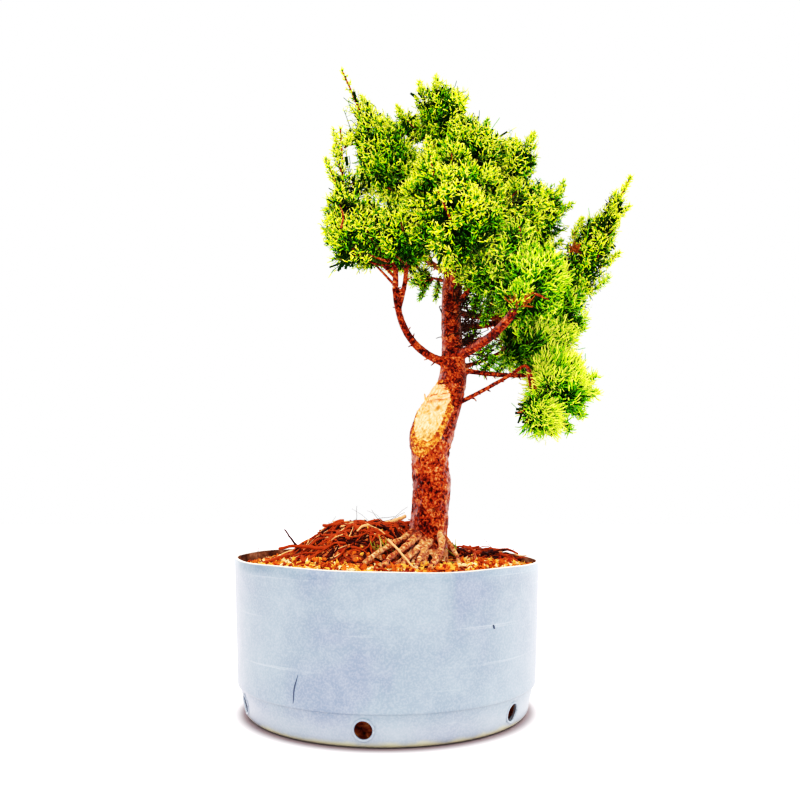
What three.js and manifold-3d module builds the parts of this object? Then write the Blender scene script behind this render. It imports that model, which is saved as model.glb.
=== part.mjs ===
// A juniper pre-bonsai in a cut-down plastic pail: pot, soil, trunk, boughs and masses of foliage.
// Millimetres, +Z up, +X to the right and +Y away from someone who faces the tree.
// The origin is at the centre of the pail's flat underside.
import * as THREE from "three";
import { mergeVertices } from "three/addons/utils/BufferGeometryUtils.js";
import Module from "manifold-3d";

const wasm = await Module();
wasm.setup();

// Driving dimensions of the pail. It tapers a little, steps in above its foot and has drain holes low down.
const pot = {
  rimRadius: 150,
  height: 145,
  shoulderRadius: 144,
  stepHeight: 28,
  stepRise: 4,
  stepDepth: 2.5,
  footRadius: 137,
  cornerRadius: 8,
  wall: 2.6,
  floor: 3.2,
  sides: 40,
  holeCount: 6,
  holeRadius: 8.4,
  holeHeight: 15.5,
  holeSides: 12,
  firstHoleDegrees: -97,
};

// Touching pieces keep this gap, and slivers thinner than this are closed up where solids are joined.
const gap = 0.3;
const sliver = 0.06;

// The soil fills the pail in lumps about 40 mm apart and rises in a mound, the tree's old root ball,
// with a hollow in front of the trunk.
const soil = {
  level: 141,
  moundHeight: 34,
  moundCentre: [-15, 4],
  moundReach: 100,
  moundPlateau: 0.3,
  hollowCentre: [46, -66],
  hollowReach: 62,
  hollowDepth: 26,
  hollowPlateau: 0.25,
  lump: 2.4,
  lumpLength: [6, 6.6],
  sides: 72,
  rings: 14,
};

// Stations up the trunk's middle: [x, y, height, radius]. The foot is cut flat at the soil's level.
const trunk = {
  stations: [
    [40, -25, 131, 21],
    [40, -25, 158, 19.4],
    [42, -25, 190, 18.8],
    [44, -25, 215, 19],
    [42, -25, 240, 18.6],
    [46, -24, 268, 20.5],
    [57, -22, 292, 17],
    [66, -20, 322, 14.6],
    [66.5, -17, 352, 11.4],
    [65.5, -14, 385, 10.6],
    [68, -8, 428, 10.4],
    [71.5, 0, 476, 8.2],
    [70, 5, 523, 6.2],
    [63, 11, 585, 3.6],
  ],
  sides: 13,
  rings: 24,
};

// The old top was sawn off at a slant: stations up its stub, and the cut's plane, facing forward and left,
// with how far to the right it runs.
const stub = {
  stations: [
    [42, -25, 236, 15],
    [43, -25, 262, 21.5],
    [56, -26, 312, 12],
  ],
  sides: 14,
  rings: 4,
};
const scar = { on: [38, -45, 258], facing: [-0.5, -0.75, 0.41], width: 80, edge: 17, height: 62, depth: 60 };

// Surface roots: where each one meets the soil, [x, y], and its radius at the trunk.
const roots = {
  ends: [
    [2, -110],
    [16, -118],
    [32, -116],
    [50, -98],
    [4, -58],
    [82, -6],
    [48, 28],
  ],
  radius: [5.6, 6, 5.6, 5.2, 5.6, 5.2, 5.2],
  tipShare: 0.5,
  startHeight: 168,
  startShare: 0.3,
  sink: 9,
  arch: 7,
  sides: 7,
  rings: 5,
};

// Boughs: what each grows on and at what height, where its tip is, how far its middle bows from a straight
// line and its radius at the root and at the tip.
const boughs = {
  left_outer: { on: "trunk", at: 337, tip: [8, -50, 410], bow: [-13.5, -3, -15], radius: [5, 3.4] },
  left_inner: { on: "left_outer", at: 388, tip: [19, -50, 431], bow: [2, 0, 0], radius: [3.2, 2.6] },
  upper_left: { on: "trunk", at: 476, tip: [30, 3, 526], bow: [-4, 0, -4], radius: [4.4, 3] },
  shoulder_right: { on: "trunk", at: 508, tip: [119, 3, 541], bow: [0, 0, -4], radius: [3.8, 2.6] },
  right_mid: { on: "trunk", at: 462, tip: [137, 5, 487], bow: [0, 3, -4], radius: [4, 2.8] },
  centre_front: { on: "trunk", at: 412, tip: [67, -47, 446], bow: [0, -5, -5], radius: [4.2, 3] },
  centre_low: { on: "trunk", at: 396, tip: [88, -38, 419], bow: [0, -3, -3], radius: [3.6, 2.6] },
  centre_right: { on: "trunk", at: 436, tip: [104, -18, 474], bow: [2, 0, -4], radius: [3.8, 2.6] },
  right_front: { on: "trunk", at: 344, tip: [121, -95, 377], bow: [6, -2, -4], radius: [6, 4] },
  right_far: { on: "trunk", at: 376, tip: [186, 4, 416], bow: [0, 14, -6], radius: [4.4, 3] },
  right_lobe: { on: "trunk", at: 358, tip: [168, 8, 400], bow: [0, 8, -6], radius: [3.6, 2.6] },
  right_under: { on: "trunk", at: 334, tip: [120, -4, 354], bow: [0, 4, -3], radius: [3, 2.2] },
  right_low: { on: "trunk", at: 333, tip: [152, -36, 324], bow: [4, 0, -4], radius: [3.2, 2.4] },
  low_tuft: { on: "trunk", at: 290, tip: [123, -50, 322], bow: [-6, -4, -5], radius: [3.2, 2.2] },
  back_left: { on: "trunk", at: 440, tip: [37, 54, 483], bow: [-2, 3, -5], radius: [4.4, 3] },
  back_centre: { on: "trunk", at: 492, tip: [68, 52, 546], bow: [0, 4, -4], radius: [4.2, 2.8] },
  back_right: { on: "trunk", at: 450, tip: [122, 56, 474], bow: [0, 5, -4], radius: [4.4, 3] },
  back_low: { on: "trunk", at: 396, tip: [136, 58, 408], bow: [0, 8, -3], radius: [4, 2.8] },
};
const boughSides = 6;
const boughRings = 4;
const beadSpacing = 4;

// Masses of foliage, each on the bough of its name or at a height on the trunk: the middle of its space,
// the way its leader points, the half length along that way, the half width across it and its spire's length.
const masses = {
  left_outer: { centre: [-35, -54, 466], aim: [-0.12, -0.06, 1], long: 56, wide: 36, spire: 50 },
  left_inner: { centre: [18, -54, 463], aim: [0.8, 0, 0.35], long: 42, wide: 36, spire: 0 },
  upper_left: { centre: [-4, 5, 569], aim: [-0.41, 0, 0.9], long: 60, wide: 40, spire: 56 },
  apex: { onTrunk: 585, centre: [61, 15, 625], aim: [-0.05, 0.05, 1], long: 43, wide: 34, spire: 0 },
  apex_left: { onTrunk: 574, centre: [24, 8, 608], aim: [-0.9, 0, 0.3], long: 24, wide: 16, spire: 0 },
  top_right: { onTrunk: 540, centre: [86, -18, 560], aim: [0.4, -0.2, 0.8], long: 40, wide: 38, spire: 0 },
  shoulder_right: { centre: [138, 4, 559], aim: [0.35, -0.1, 0.93], long: 36, wide: 28, spire: 0 },
  right_mid: { centre: [156, 5, 504], aim: [0.5, -0.1, 0.85], long: 47, wide: 35, spire: 0 },
  centre_front: { centre: [66, -86, 474], aim: [-0.34, -0.16, 0.92], long: 64, wide: 50, spire: 0 },
  centre_low: { centre: [108, -55, 435], aim: [0.7, -0.5, 0.3], long: 42, wide: 40, spire: 0 },
  centre_right: { centre: [131, -30, 489], aim: [0.6, -0.3, 0.7], long: 37, wide: 34, spire: 0 },
  right_front: { centre: [140, -62, 410], aim: [0.5, -0.4, 0.5], long: 42, wide: 38, spire: 0 },
  right_far: { centre: [214, 0, 462], aim: [0.5, 0, 0.87], long: 80, wide: 26, spire: 18 },
  right_lobe: { centre: [178, 3, 398], aim: [-0.25, 0, -0.95], long: 46, wide: 32, spire: 0 },
  right_under: { centre: [148, -12, 361], aim: [0.9, 0, 0.1], long: 42, wide: 31, spire: 0 },
  right_low: { centre: [167, -39, 312], aim: [0.9, -0.2, -0.1], long: 35, wide: 37, spire: 0 },
  low_tuft: { centre: [145, -58, 279], aim: [0.3, -0.2, -0.8], long: 24, wide: 23, spire: 0 },
  under_left: { onTrunk: 427, centre: [40, 14, 438], aim: [-0.6, 0.3, -0.6], long: 21, wide: 16, spire: 0 },
  back_left: { centre: [12, 84, 505], aim: [-0.5, 0.5, 0.6], long: 44, wide: 38, spire: 0 },
  back_centre: { centre: [66, 84, 582], aim: [0, 0.4, 0.8], long: 54, wide: 46, spire: 0 },
  back_right: { centre: [149, 84, 487], aim: [0.5, 0.5, 0.5], long: 52, wide: 45, spire: 0 },
  back_low: { centre: [158, 78, 408], aim: [0.5, 0.6, 0.1], long: 42, wide: 36, spire: 0 },
};

// How every mass grows: a core with a coat of pointed tufts, and a twig out of every few tufts to the skin
// of its space, with a spray of needles round its end.
const growth = {
  seed: 7112,
  twigsPerMass: 7,
  twigRadius: 3.2,
  forkDegrees: 50,
  forkSteps: 24,
  needlesPerTwig: 2,
  needleLength: 24,
  shortestNeedle: 7,
  needleRadius: 2.8,
  needleLean: 0.7,
  leaderShare: 0.4,
  leaderRadius: [2.6, 0.9],
  leaderSides: 4,
  leaderRings: 6,
  smallWidth: 29,
  coreShare: 0.8,
  coreJitter: 0.3,
  coreLeast: 3,
  tuftJitter: 0.22,
  tuftLean: 0.5,
  spireTaper: 1.3,
  spireTwigs: 3,
  spireRoots: [0.8, 0.96],
  spaceGap: 2,
  limbGap: 1.2,
  march: 1.5,
};
const goldenAngle = Math.PI * (3 - Math.sqrt(5));
const up = new THREE.Vector3(0, 0, 1);
const right = new THREE.Vector3(1, 0, 0);

const vector = (xyz) => new THREE.Vector3(...xyz);

// Random numbers from 0 to 1 that are the same in every run.
function seeded(seed) {
  let state = seed >>> 0;
  return () => {
    state = (state + 0x6d2b79f5) >>> 0;
    let mixed = Math.imul(state ^ (state >>> 15), state | 1);
    mixed = (mixed + Math.imul(mixed ^ (mixed >>> 7), mixed | 61)) ^ mixed;
    return ((mixed ^ (mixed >>> 14)) >>> 0) / 4294967296;
  };
}

const smoothstep = (low, high, value) => THREE.MathUtils.smoothstep(value, low, high);

// A geometry with its places alone, and each shared corner once.
function bare(geometry) {
  const copy = geometry.clone();
  copy.deleteAttribute("normal");
  copy.deleteAttribute("uv");
  return mergeVertices(copy, 1e-4);
}

// Solids: a closed geometry as a solid that can be joined and cut, and back.
function solidOf(geometry) {
  const merged = bare(geometry);
  const triVerts = new Uint32Array(merged.index.array);
  const vertProperties = merged.attributes.position.array;
  return new wasm.Manifold(new wasm.Mesh({ numProp: 3, vertProperties, triVerts }));
}

function geometryOf(solid) {
  const mesh = solid.getMesh();
  const geometry = new THREE.BufferGeometry();
  geometry.setAttribute("position", new THREE.BufferAttribute(new Float32Array(mesh.vertProperties), 3));
  geometry.setIndex(new THREE.BufferAttribute(new Uint32Array(mesh.triVerts), 1));
  return geometry;
}

const joined = (solids) => solids.reduce((sum, next) => sum.add(next));

// The largest body of a solid: scraps and sealed hollows are dropped.
const larger = (one, other) => (other.volume() > one.volume() ? other : one);
const largest = (solid) => solid.decompose().reduce(larger);

// A tapering limb: a closed cylinder whose rings are moved onto a curve.
function limbGeometry(curve, radiusAt, sides, rings) {
  const geometry = new THREE.CylinderGeometry(1, 1, 1, sides, rings);
  const frames = curve.computeFrenetFrames(rings, false);
  const place = geometry.attributes.position;
  for (let i = 0; i < place.count; i++) {
    const ring = Math.round((place.getY(i) + 0.5) * rings);
    const centre = curve.getPointAt(ring / rings);
    const radius = radiusAt(ring / rings, centre);
    centre.addScaledVector(frames.normals[ring], place.getX(i) * radius);
    centre.addScaledVector(frames.binormals[ring], -place.getZ(i) * radius);
    place.setXYZ(i, centre.x, centre.y, centre.z);
  }
  return geometry;
}

// Points along a limb with the radius there, for keeping foliage clear of it.
function beadsOf(curve, radiusAt) {
  const count = Math.ceil(curve.getLength() / beadSpacing);
  return Array.from({ length: count + 1 }, (_, i) => {
    const at = curve.getPointAt(i / count);
    return { at, radius: radiusAt(i / count, at) };
  });
}

// The point of a rising curve at a height.
function atHeight(curve, height) {
  let low = 0;
  let high = 1;
  for (let i = 0; i < 40; i++) {
    const middle = (low + high) / 2;
    if (curve.getPoint(middle).z < height) low = middle;
    else high = middle;
  }
  return curve.getPoint(low);
}

// Pail: one lathe profile from the middle of the underside, up the outside, over the rim and down the inside.
function potProfile() {
  const { rimRadius, height, wall, floor, footRadius, cornerRadius, stepHeight, stepRise, stepDepth } = pot;
  const profile = [new THREE.Vector2(0, 0)];
  for (let i = 0; i <= 3; i++) {
    const angle = (-1 + i / 3) * (Math.PI / 2);
    const radius = footRadius - cornerRadius + cornerRadius * Math.cos(angle);
    profile.push(new THREE.Vector2(radius, cornerRadius + cornerRadius * Math.sin(angle)));
  }
  profile.push(new THREE.Vector2(pot.shoulderRadius - stepDepth, stepHeight));
  profile.push(new THREE.Vector2(pot.shoulderRadius, stepHeight + stepRise));
  profile.push(new THREE.Vector2(rimRadius, height));
  profile.push(new THREE.Vector2(rimRadius - wall, height));
  profile.push(new THREE.Vector2(pot.shoulderRadius - wall, stepHeight + stepRise));
  profile.push(new THREE.Vector2(pot.shoulderRadius - stepDepth - wall, stepHeight));
  profile.push(new THREE.Vector2(footRadius - wall, cornerRadius + floor));
  profile.push(new THREE.Vector2(footRadius - cornerRadius, floor));
  profile.push(new THREE.Vector2(0, floor));
  return profile;
}

function makePot() {
  const shell = new THREE.LatheGeometry(potProfile(), pot.sides).rotateX(Math.PI / 2);
  let solid = solidOf(shell);
  const boreLength = 6 * pot.cornerRadius;
  const bore = new THREE.CylinderGeometry(pot.holeRadius, pot.holeRadius, boreLength, pot.holeSides);
  for (let i = 0; i < pot.holeCount; i++) {
    const angle = THREE.MathUtils.degToRad(pot.firstHoleDegrees) + (i * 2 * Math.PI) / pot.holeCount;
    const drill = bore.clone().rotateZ(Math.PI / 2).translate(pot.footRadius, 0, 0).rotateZ(angle);
    solid = solid.subtract(solidOf(drill.translate(0, 0, pot.holeHeight)));
  }
  return solid;
}

// Height of the soil's surface.
function soilHeight(x, y) {
  const mound = Math.hypot(x - soil.moundCentre[0], y - soil.moundCentre[1]) / soil.moundReach;
  const hollow = Math.hypot(x - soil.hollowCentre[0], y - soil.hollowCentre[1]) / soil.hollowReach;
  const rise = soil.moundHeight * (1 - smoothstep(soil.moundPlateau, 1, mound));
  const dip = soil.hollowDepth * (1 - smoothstep(soil.hollowPlateau, 1, hollow));
  const lumps = soil.lump * Math.sin(x / soil.lumpLength[0]) * Math.sin(y / soil.lumpLength[1]);
  return soil.level + Math.max(0, rise - dip) + lumps;
}

// Radius of the pail's inside at a height, less the gap.
function soilRadius(height) {
  const { footRadius, wall, shoulderRadius, stepHeight, stepRise, stepDepth, cornerRadius, floor } = pot;
  const levels = [floor, cornerRadius + floor, stepHeight, stepHeight + stepRise, pot.height];
  const radii = [footRadius - cornerRadius, footRadius - wall, shoulderRadius - stepDepth - wall];
  radii.push(shoulderRadius - wall, pot.rimRadius - wall);
  const next = Math.max(1, levels.findIndex((level) => level >= height));
  const share = (height - levels[next - 1]) / (levels[next] - levels[next - 1]);
  return THREE.MathUtils.lerp(radii[next - 1], radii[next], share) - 2 * gap;
}

// Soil: a lathe profile from the floor's middle, up the pail's inside and over the top, which has the mound.
function makeSoil() {
  const { floor, cornerRadius, stepHeight, stepRise } = pot;
  const sideLevels = [floor + gap, cornerRadius + floor, stepHeight, stepHeight + stepRise];
  const profile = [new THREE.Vector2(0, sideLevels[0])];
  for (const level of sideLevels) profile.push(new THREE.Vector2(soilRadius(level), level));
  const firstOnTop = profile.length;
  for (let i = soil.rings; i >= 0; i--) {
    profile.push(new THREE.Vector2((i / soil.rings) * soilRadius(soil.level), soil.level));
  }
  const geometry = new THREE.LatheGeometry(profile, soil.sides).rotateX(Math.PI / 2);
  const place = geometry.attributes.position;
  for (let i = 0; i < place.count; i++) {
    if (i % profile.length >= firstOnTop) place.setZ(i, soilHeight(place.getX(i), place.getY(i)));
  }
  return solidOf(geometry);
}

// Trunk: one tapering limb with its surface roots and the sawn stub, cut flat at the soil's level.
const stationCurve = (stations) => {
  const points = stations.map(([x, y, z]) => new THREE.Vector3(x, y, z));
  return new THREE.CatmullRomCurve3(points);
};
const trunkCurve = stationCurve(trunk.stations);

// The radius at a height, between stations that hold [x, y, height, radius].
function radiusAtHeight(stations, height) {
  const above = stations.findIndex((station) => station[2] >= height);
  if (above === 0) return stations[0][3];
  if (above < 0) return stations.at(-1)[3];
  const [low, high] = [stations[above - 1], stations[above]];
  return THREE.MathUtils.mapLinear(height, low[2], high[2], low[3], high[3]);
}

const trunkRadius = (height) => radiusAtHeight(trunk.stations, height);

function rootCurve(index) {
  const [x, y] = roots.ends[index];
  const foot = atHeight(trunkCurve, roots.startHeight);
  const end = new THREE.Vector3(x, y, soil.level - roots.sink);
  const start = foot.clone().lerp(end, roots.startShare).setZ(roots.startHeight);
  const middle = start.clone().lerp(end, 0.5);
  middle.z += roots.arch;
  return new THREE.QuadraticBezierCurve3(foot, middle, end);
}

const rootRadius = (index) => (t) => roots.radius[index] * THREE.MathUtils.lerp(1, roots.tipShare, t);

function scarBlock() {
  const facing = vector(scar.facing).normalize();
  const across = new THREE.Vector3().crossVectors(up, facing).normalize();
  const along = new THREE.Vector3().crossVectors(facing, across);
  const middle = vector(scar.on).addScaledVector(along, scar.height / 2);
  middle.addScaledVector(across, scar.edge - scar.width / 2);
  middle.addScaledVector(facing, scar.depth / 2);
  const turn = new THREE.Matrix4().makeBasis(across, along, facing).setPosition(middle);
  return solidOf(new THREE.BoxGeometry(scar.width, scar.height, scar.depth).applyMatrix4(turn));
}

// The trunk's solid, thickened by extra on every side; the thick one has no saw cut.
function makeTrunk(extra) {
  const tip = trunk.stations.at(-1).map((value, i) => (i === 2 ? value + extra : value));
  const curve = stationCurve([...trunk.stations.slice(0, -1), tip]);
  const solids = [limbGeometry(curve, (_, at) => trunkRadius(at.z) + extra, trunk.sides, trunk.rings)];
  const stubRadius = (_, at) => radiusAtHeight(stub.stations, at.z) + extra;
  solids.push(limbGeometry(stationCurve(stub.stations), stubRadius, stub.sides, stub.rings));
  roots.ends.forEach((_, i) => {
    solids.push(limbGeometry(rootCurve(i), (t) => rootRadius(i)(t) + extra, roots.sides, roots.rings));
  });
  let solid = joined(solids.map(solidOf));
  if (extra === 0) solid = solid.subtract(scarBlock());
  const below = new THREE.BoxGeometry(4 * pot.rimRadius, 4 * pot.rimRadius, 2 * pot.height);
  return solid.subtract(solidOf(below.translate(0, 0, soil.level - extra - pot.height)));
}

// Boughs: each runs from inside what it grows on, which is then cut out of it with the gap.
const curves = { trunk: trunkCurve };

function boughCurve({ on, at, tip, bow }) {
  const start = atHeight(curves[on], at);
  const end = vector(tip);
  const middle = start.clone().lerp(end, 0.5).addScaledVector(vector(bow), 2);
  return new THREE.QuadraticBezierCurve3(start, middle, end);
}

const boughRadius = ({ radius }) => (t) => THREE.MathUtils.lerp(radius[0], radius[1], Math.sqrt(t));

for (const [name, bough] of Object.entries(boughs)) curves[name] = boughCurve(bough);

function makeBough(name, extra) {
  const radiusAt = boughRadius(boughs[name]);
  const curve = curves[name].clone();
  curve.v2.addScaledVector(curve.getTangent(1), extra);
  return solidOf(limbGeometry(curve, (t) => radiusAt(t) + extra, boughSides, boughRings));
}

const parentSolid = (name) => (name === "trunk" ? makeTrunk(gap) : makeBough(name, gap));

// Spaces of the masses.
const spaces = Object.entries(masses).map(([name, mass], index) => ({
  name,
  ...mass,
  centre: vector(mass.centre),
  aim: vector(mass.aim).normalize(),
  seed: growth.seed + index,
}));

// The leader: from the bough's tip, or from inside the trunk, through the middle of the space to its far end.
function leaderCurve(space) {
  const reach = space.spire ? space.long + space.spire - 2 : growth.leaderShare * space.long;
  const end = space.centre.clone().addScaledVector(space.aim, reach);
  const bough = curves[space.name];
  const start = bough ? bough.getPoint(1) : atHeight(trunkCurve, space.onTrunk);
  const way = bough ? bough.getTangent(1) : space.centre.clone().sub(start).normalize();
  if (bough) start.addScaledVector(way, gap);
  const bend = start.clone().addScaledVector(way, 0.3 * start.distanceTo(space.centre));
  return new THREE.CatmullRomCurve3([start, bend, space.centre, end]);
}

function leaderRadius(space) {
  const [usual, tip] = growth.leaderRadius;
  const root = boughs[space.name] ? boughs[space.name].radius[1] : usual;
  return (t) => THREE.MathUtils.lerp(root, tip, t);
}

function makeLeader(space, extra) {
  const radiusAt = leaderRadius(space);
  const { leaderSides, leaderRings } = growth;
  return solidOf(limbGeometry(leaderCurve(space), (t) => radiusAt(t) + extra, leaderSides, leaderRings));
}

// Every limb as beads, and its solid with the gap round it. A mass keeps clear of all but its own leader.
const limbs = [
  { beads: beadsOf(trunkCurve, (_, at) => trunkRadius(at.z)), thick: () => makeTrunk(gap) },
  ...Object.entries(boughs).map(([name, bough]) => ({
    beads: beadsOf(curves[name], boughRadius(bough)),
    thick: () => makeBough(name, gap),
  })),
  ...spaces.map((space) => ({
    leaderOf: space,
    beads: beadsOf(leaderCurve(space), leaderRadius(space)),
    thick: () => makeLeader(space, gap),
  })),
];

function clearOfLimbs(space, point, radius) {
  const margin = radius + growth.limbGap;
  const clear = (bead) => bead.at.distanceTo(point) > bead.radius + margin;
  return limbs.every((limb) => limb.leaderOf === space || limb.beads.every(clear));
}

// How far a point is outside a mass's own ellipsoid or spire, roughly in millimetres, and below zero inside.
function outside(space, point) {
  const offset = point.clone().sub(space.centre);
  const along = offset.dot(space.aim);
  const across = Math.sqrt(Math.max(0, offset.lengthSq() - along * along));
  const body = (Math.hypot(along / space.long, across / space.wide) - 1) * space.wide;
  const reach = space.long + space.spire;
  if (!space.spire || along < 0 || along > reach) return body;
  const spireWidth = space.wide * Math.pow(1 - along / reach, growth.spireTaper);
  return Math.min(body, across - spireWidth);
}

// Whether a ball lies in a mass's space, nearer to it than to any other and clear of every limb.
function inSpace(space, point, radius) {
  const depth = outside(space, point) + radius;
  if (depth > 0) return false;
  const limit = depth + growth.spaceGap;
  const nearest = spaces.every((other) => other === space || outside(other, point) > limit);
  return nearest && clearOfLimbs(space, point, radius);
}

// How far a straight way from a point stays in the space, up to a limit.
function wayOut(space, from, direction, radius, limit) {
  let way = 0;
  while (way + growth.march < limit) {
    const next = from.clone().addScaledVector(direction, way + growth.march);
    if (!inSpace(space, next, radius)) break;
    way += growth.march;
  }
  return way;
}

// A three-sided spike from a root along a direction: a twig or a needle.
function spike(root, direction, length, radius, roll) {
  const turn = new THREE.Quaternion().setFromUnitVectors(new THREE.Vector3(0, 1, 0), direction);
  const geometry = new THREE.ConeGeometry(radius, length, 3, 1).rotateY(roll).translate(0, length / 2, 0);
  return solidOf(geometry.applyQuaternion(turn).translate(root.x, root.y, root.z));
}

// Whether a spike stays in the space from near its root to its tip.
function spikeFits(space, root, direction, length) {
  const shares = [0.3, 0.5, 0.75, 1];
  return shares.every((share) => inSpace(space, root.clone().addScaledVector(direction, share * length), 0));
}

// The smaller core of a dense mass: a ball well inside the space, each face raised to a tuft's point.
function tuftedCore(space, random) {
  const ball = bare(new THREE.IcosahedronGeometry(1, space.wide < growth.smallWidth ? 0 : 1));
  const ways = [];
  for (let i = 0; i < ball.attributes.position.count; i++) {
    ways.push(new THREE.Vector3().fromBufferAttribute(ball.attributes.position, i).normalize());
  }
  const skin = (way) => wayOut(space, space.centre, way, 0, space.long);
  const onRay = (way, share) => {
    const reach = Math.max(growth.coreLeast, share * skin(way));
    return space.centre.clone().addScaledVector(way, reach);
  };
  const points = ways.map((way) => onRay(way, growth.coreShare * (1 - growth.coreJitter * random())));
  const faces = [];
  const twigEnds = [];
  const faceCount = ball.index.count / 3;
  const tuftsPerTwig = Math.ceil(faceCount / growth.twigsPerMass);
  for (let i = 0; i < faceCount; i++) {
    const corners = [0, 1, 2].map((k) => ball.index.getX(3 * i + k));
    const way = new THREE.Vector3();
    for (const corner of corners) way.addScaledVector(ways[corner], 1 + growth.tuftLean * random());
    way.normalize();
    const hasTwig = i % tuftsPerTwig === 0;
    if (hasTwig) twigEnds.push(onRay(way, 1));
    points.push(onRay(way, 1 - growth.tuftJitter * (hasTwig ? 1 : random())));
    corners.forEach((corner, k) => faces.push(corner, corners[(k + 1) % 3], points.length - 1));
  }
  const core = new THREE.BufferGeometry().setFromPoints(points);
  core.setIndex(faces);
  return { solid: solidOf(core), twigEnds };
}

// Needles round a stretch of stem, at the golden angle, leaning to its end, as long as the space allows.
function needlesAlong(space, from, way, start, end, count, random) {
  const solids = [];
  const side = new THREE.Vector3().crossVectors(way, Math.abs(way.z) < 0.9 ? up : right).normalize();
  for (let i = 0; i < count; i++) {
    const root = from.clone().addScaledVector(way, start + ((end - start) * (i + 0.5)) / count);
    const turned = side.clone().applyAxisAngle(way, i * goldenAngle + random());
    const lean = growth.needleLean * (0.7 + 0.6 * random());
    const direction = way.clone().multiplyScalar(Math.cos(lean)).addScaledVector(turned, Math.sin(lean));
    const wanted = growth.needleLength * (0.75 + 0.5 * random());
    const length = wayOut(space, root, direction, 0.3, wanted);
    if (length < growth.shortestNeedle) continue;
    solids.push(spike(root, direction, length, growth.needleRadius * (0.85 + 0.3 * random()), random()));
  }
  return solids;
}

// Where on a leader a twig to an end forks off, leaning on by the usual angle.
function forkPoint(curve, end) {
  const usual = THREE.MathUtils.degToRad(growth.forkDegrees);
  let best = { off: Infinity };
  for (let i = 0; i <= growth.forkSteps; i++) {
    const root = curve.getPoint(i / growth.forkSteps);
    const lean = end.clone().sub(root).angleTo(curve.getTangent(i / growth.forkSteps));
    const off = Math.abs(lean - usual);
    if (off < best.off) best = { off, root };
  }
  return best.root;
}

// One mass: leader, core, twigs to the skin of the space, and needles in a spray round each twig's end.
function makeMass(space) {
  const random = seeded(space.seed);
  const curve = leaderCurve(space);
  const core = tuftedCore(space, random);
  const solids = [core.solid];
  for (const end of core.twigEnds) {
    const root = forkPoint(curve, end);
    const direction = end.clone().sub(root);
    const length = direction.length();
    direction.normalize();
    if (!spikeFits(space, root, direction, length)) continue;
    solids.push(spike(root, direction, length, growth.twigRadius, random()));
    const bare = length * (1 - growth.tuftJitter);
    solids.push(...needlesAlong(space, root, direction, bare, 0.95 * length, growth.needlesPerTwig, random));
  }
  const spireTwigs = space.spire ? growth.spireTwigs : 0;
  for (let k = 0; k < spireTwigs; k++) {
    const share = THREE.MathUtils.lerp(...growth.spireRoots, (k + 0.5) / spireTwigs);
    const root = curve.getPoint(share);
    solids.push(...needlesAlong(space, root, curve.getTangent(share), -2, 2, growth.needlesPerTwig, random));
  }
  let solid = joined(solids);
  for (const limb of limbs) {
    const near = limb.beads.some((bead) => bead.at.distanceTo(space.centre) < space.long + bead.radius);
    if (near && limb.leaderOf !== space) solid = solid.subtract(limb.thick());
  }
  const leader = makeLeader(space, 0);
  const stem = boughs[space.name] ? leader : leader.subtract(makeTrunk(gap));
  return largest(joined([solid, stem]).simplify(sliver));
}

// Scene graph: each node is a named mesh with its own material.
const looks = {
  pot: { color: 0xc9d6e2, roughness: 0.45, metalness: 0 },
  soil: { color: 0x8a4a22, roughness: 0.95, metalness: 0 },
  bark: { color: 0x8a3b1e, roughness: 0.9, metalness: 0 },
  foliage: { color: 0x77a81c, roughness: 0.7, metalness: 0 },
};

function namedMesh(name, solid, look) {
  const mesh = new THREE.Mesh(geometryOf(solid), new THREE.MeshStandardMaterial(looks[look]));
  mesh.name = name;
  return mesh;
}

const tree = new THREE.Group();
tree.name = "tree";
tree.add(namedMesh("trunk", makeTrunk(0), "bark"));
for (const [name, bough] of Object.entries(boughs)) {
  tree.add(namedMesh(`bough_${name}`, largest(makeBough(name, 0).subtract(parentSolid(bough.on))), "bark"));
}
for (const space of spaces) tree.add(namedMesh(`foliage_${space.name}`, makeMass(space), "foliage"));

const juniper = new THREE.Group();
juniper.name = "juniper_in_pail";
juniper.add(namedMesh("pot", makePot(), "pot"));
juniper.add(namedMesh("soil", largest(makeSoil().subtract(makeTrunk(gap))), "soil"));
juniper.add(tree);

export default juniper;
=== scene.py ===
import math
from types import SimpleNamespace

import bpy
import numpy as np
from mathutils.kdtree import KDTree
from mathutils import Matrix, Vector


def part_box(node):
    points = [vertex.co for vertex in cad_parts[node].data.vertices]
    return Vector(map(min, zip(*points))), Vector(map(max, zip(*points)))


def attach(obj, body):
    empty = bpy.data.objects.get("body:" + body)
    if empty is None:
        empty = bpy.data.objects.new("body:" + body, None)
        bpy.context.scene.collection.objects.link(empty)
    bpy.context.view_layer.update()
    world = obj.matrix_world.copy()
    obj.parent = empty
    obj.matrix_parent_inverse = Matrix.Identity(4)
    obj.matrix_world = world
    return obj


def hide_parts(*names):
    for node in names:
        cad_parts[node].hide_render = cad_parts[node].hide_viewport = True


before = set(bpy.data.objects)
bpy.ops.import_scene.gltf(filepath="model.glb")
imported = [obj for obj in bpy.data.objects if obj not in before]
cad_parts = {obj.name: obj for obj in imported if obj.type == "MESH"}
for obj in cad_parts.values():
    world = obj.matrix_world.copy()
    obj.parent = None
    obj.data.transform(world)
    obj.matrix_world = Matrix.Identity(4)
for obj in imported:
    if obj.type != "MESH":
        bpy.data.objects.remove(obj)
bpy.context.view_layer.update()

MM = 0.001
UP = np.array([0.0, 0.0, 1.0])
RIGHT = np.array([1.0, 0.0, 0.0])
GOLDEN_ANGLE = math.pi * (3 - math.sqrt(5))
PIECE_LIMIT = 190000

# Seeds: of the random draws, with one stream for each kind on the soil, and of the smooth noises.
SEED = 7112
STREAM = SimpleNamespace(grit=100, mat=200, weeds=300)
NOISE = SimpleNamespace(
    flakes=1, fine_flakes=2, lumps=3, rings=4, scar=(5, 6), knobs=8, dents=11, bed=(21, 22), crown=(31, 32),
)

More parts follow.
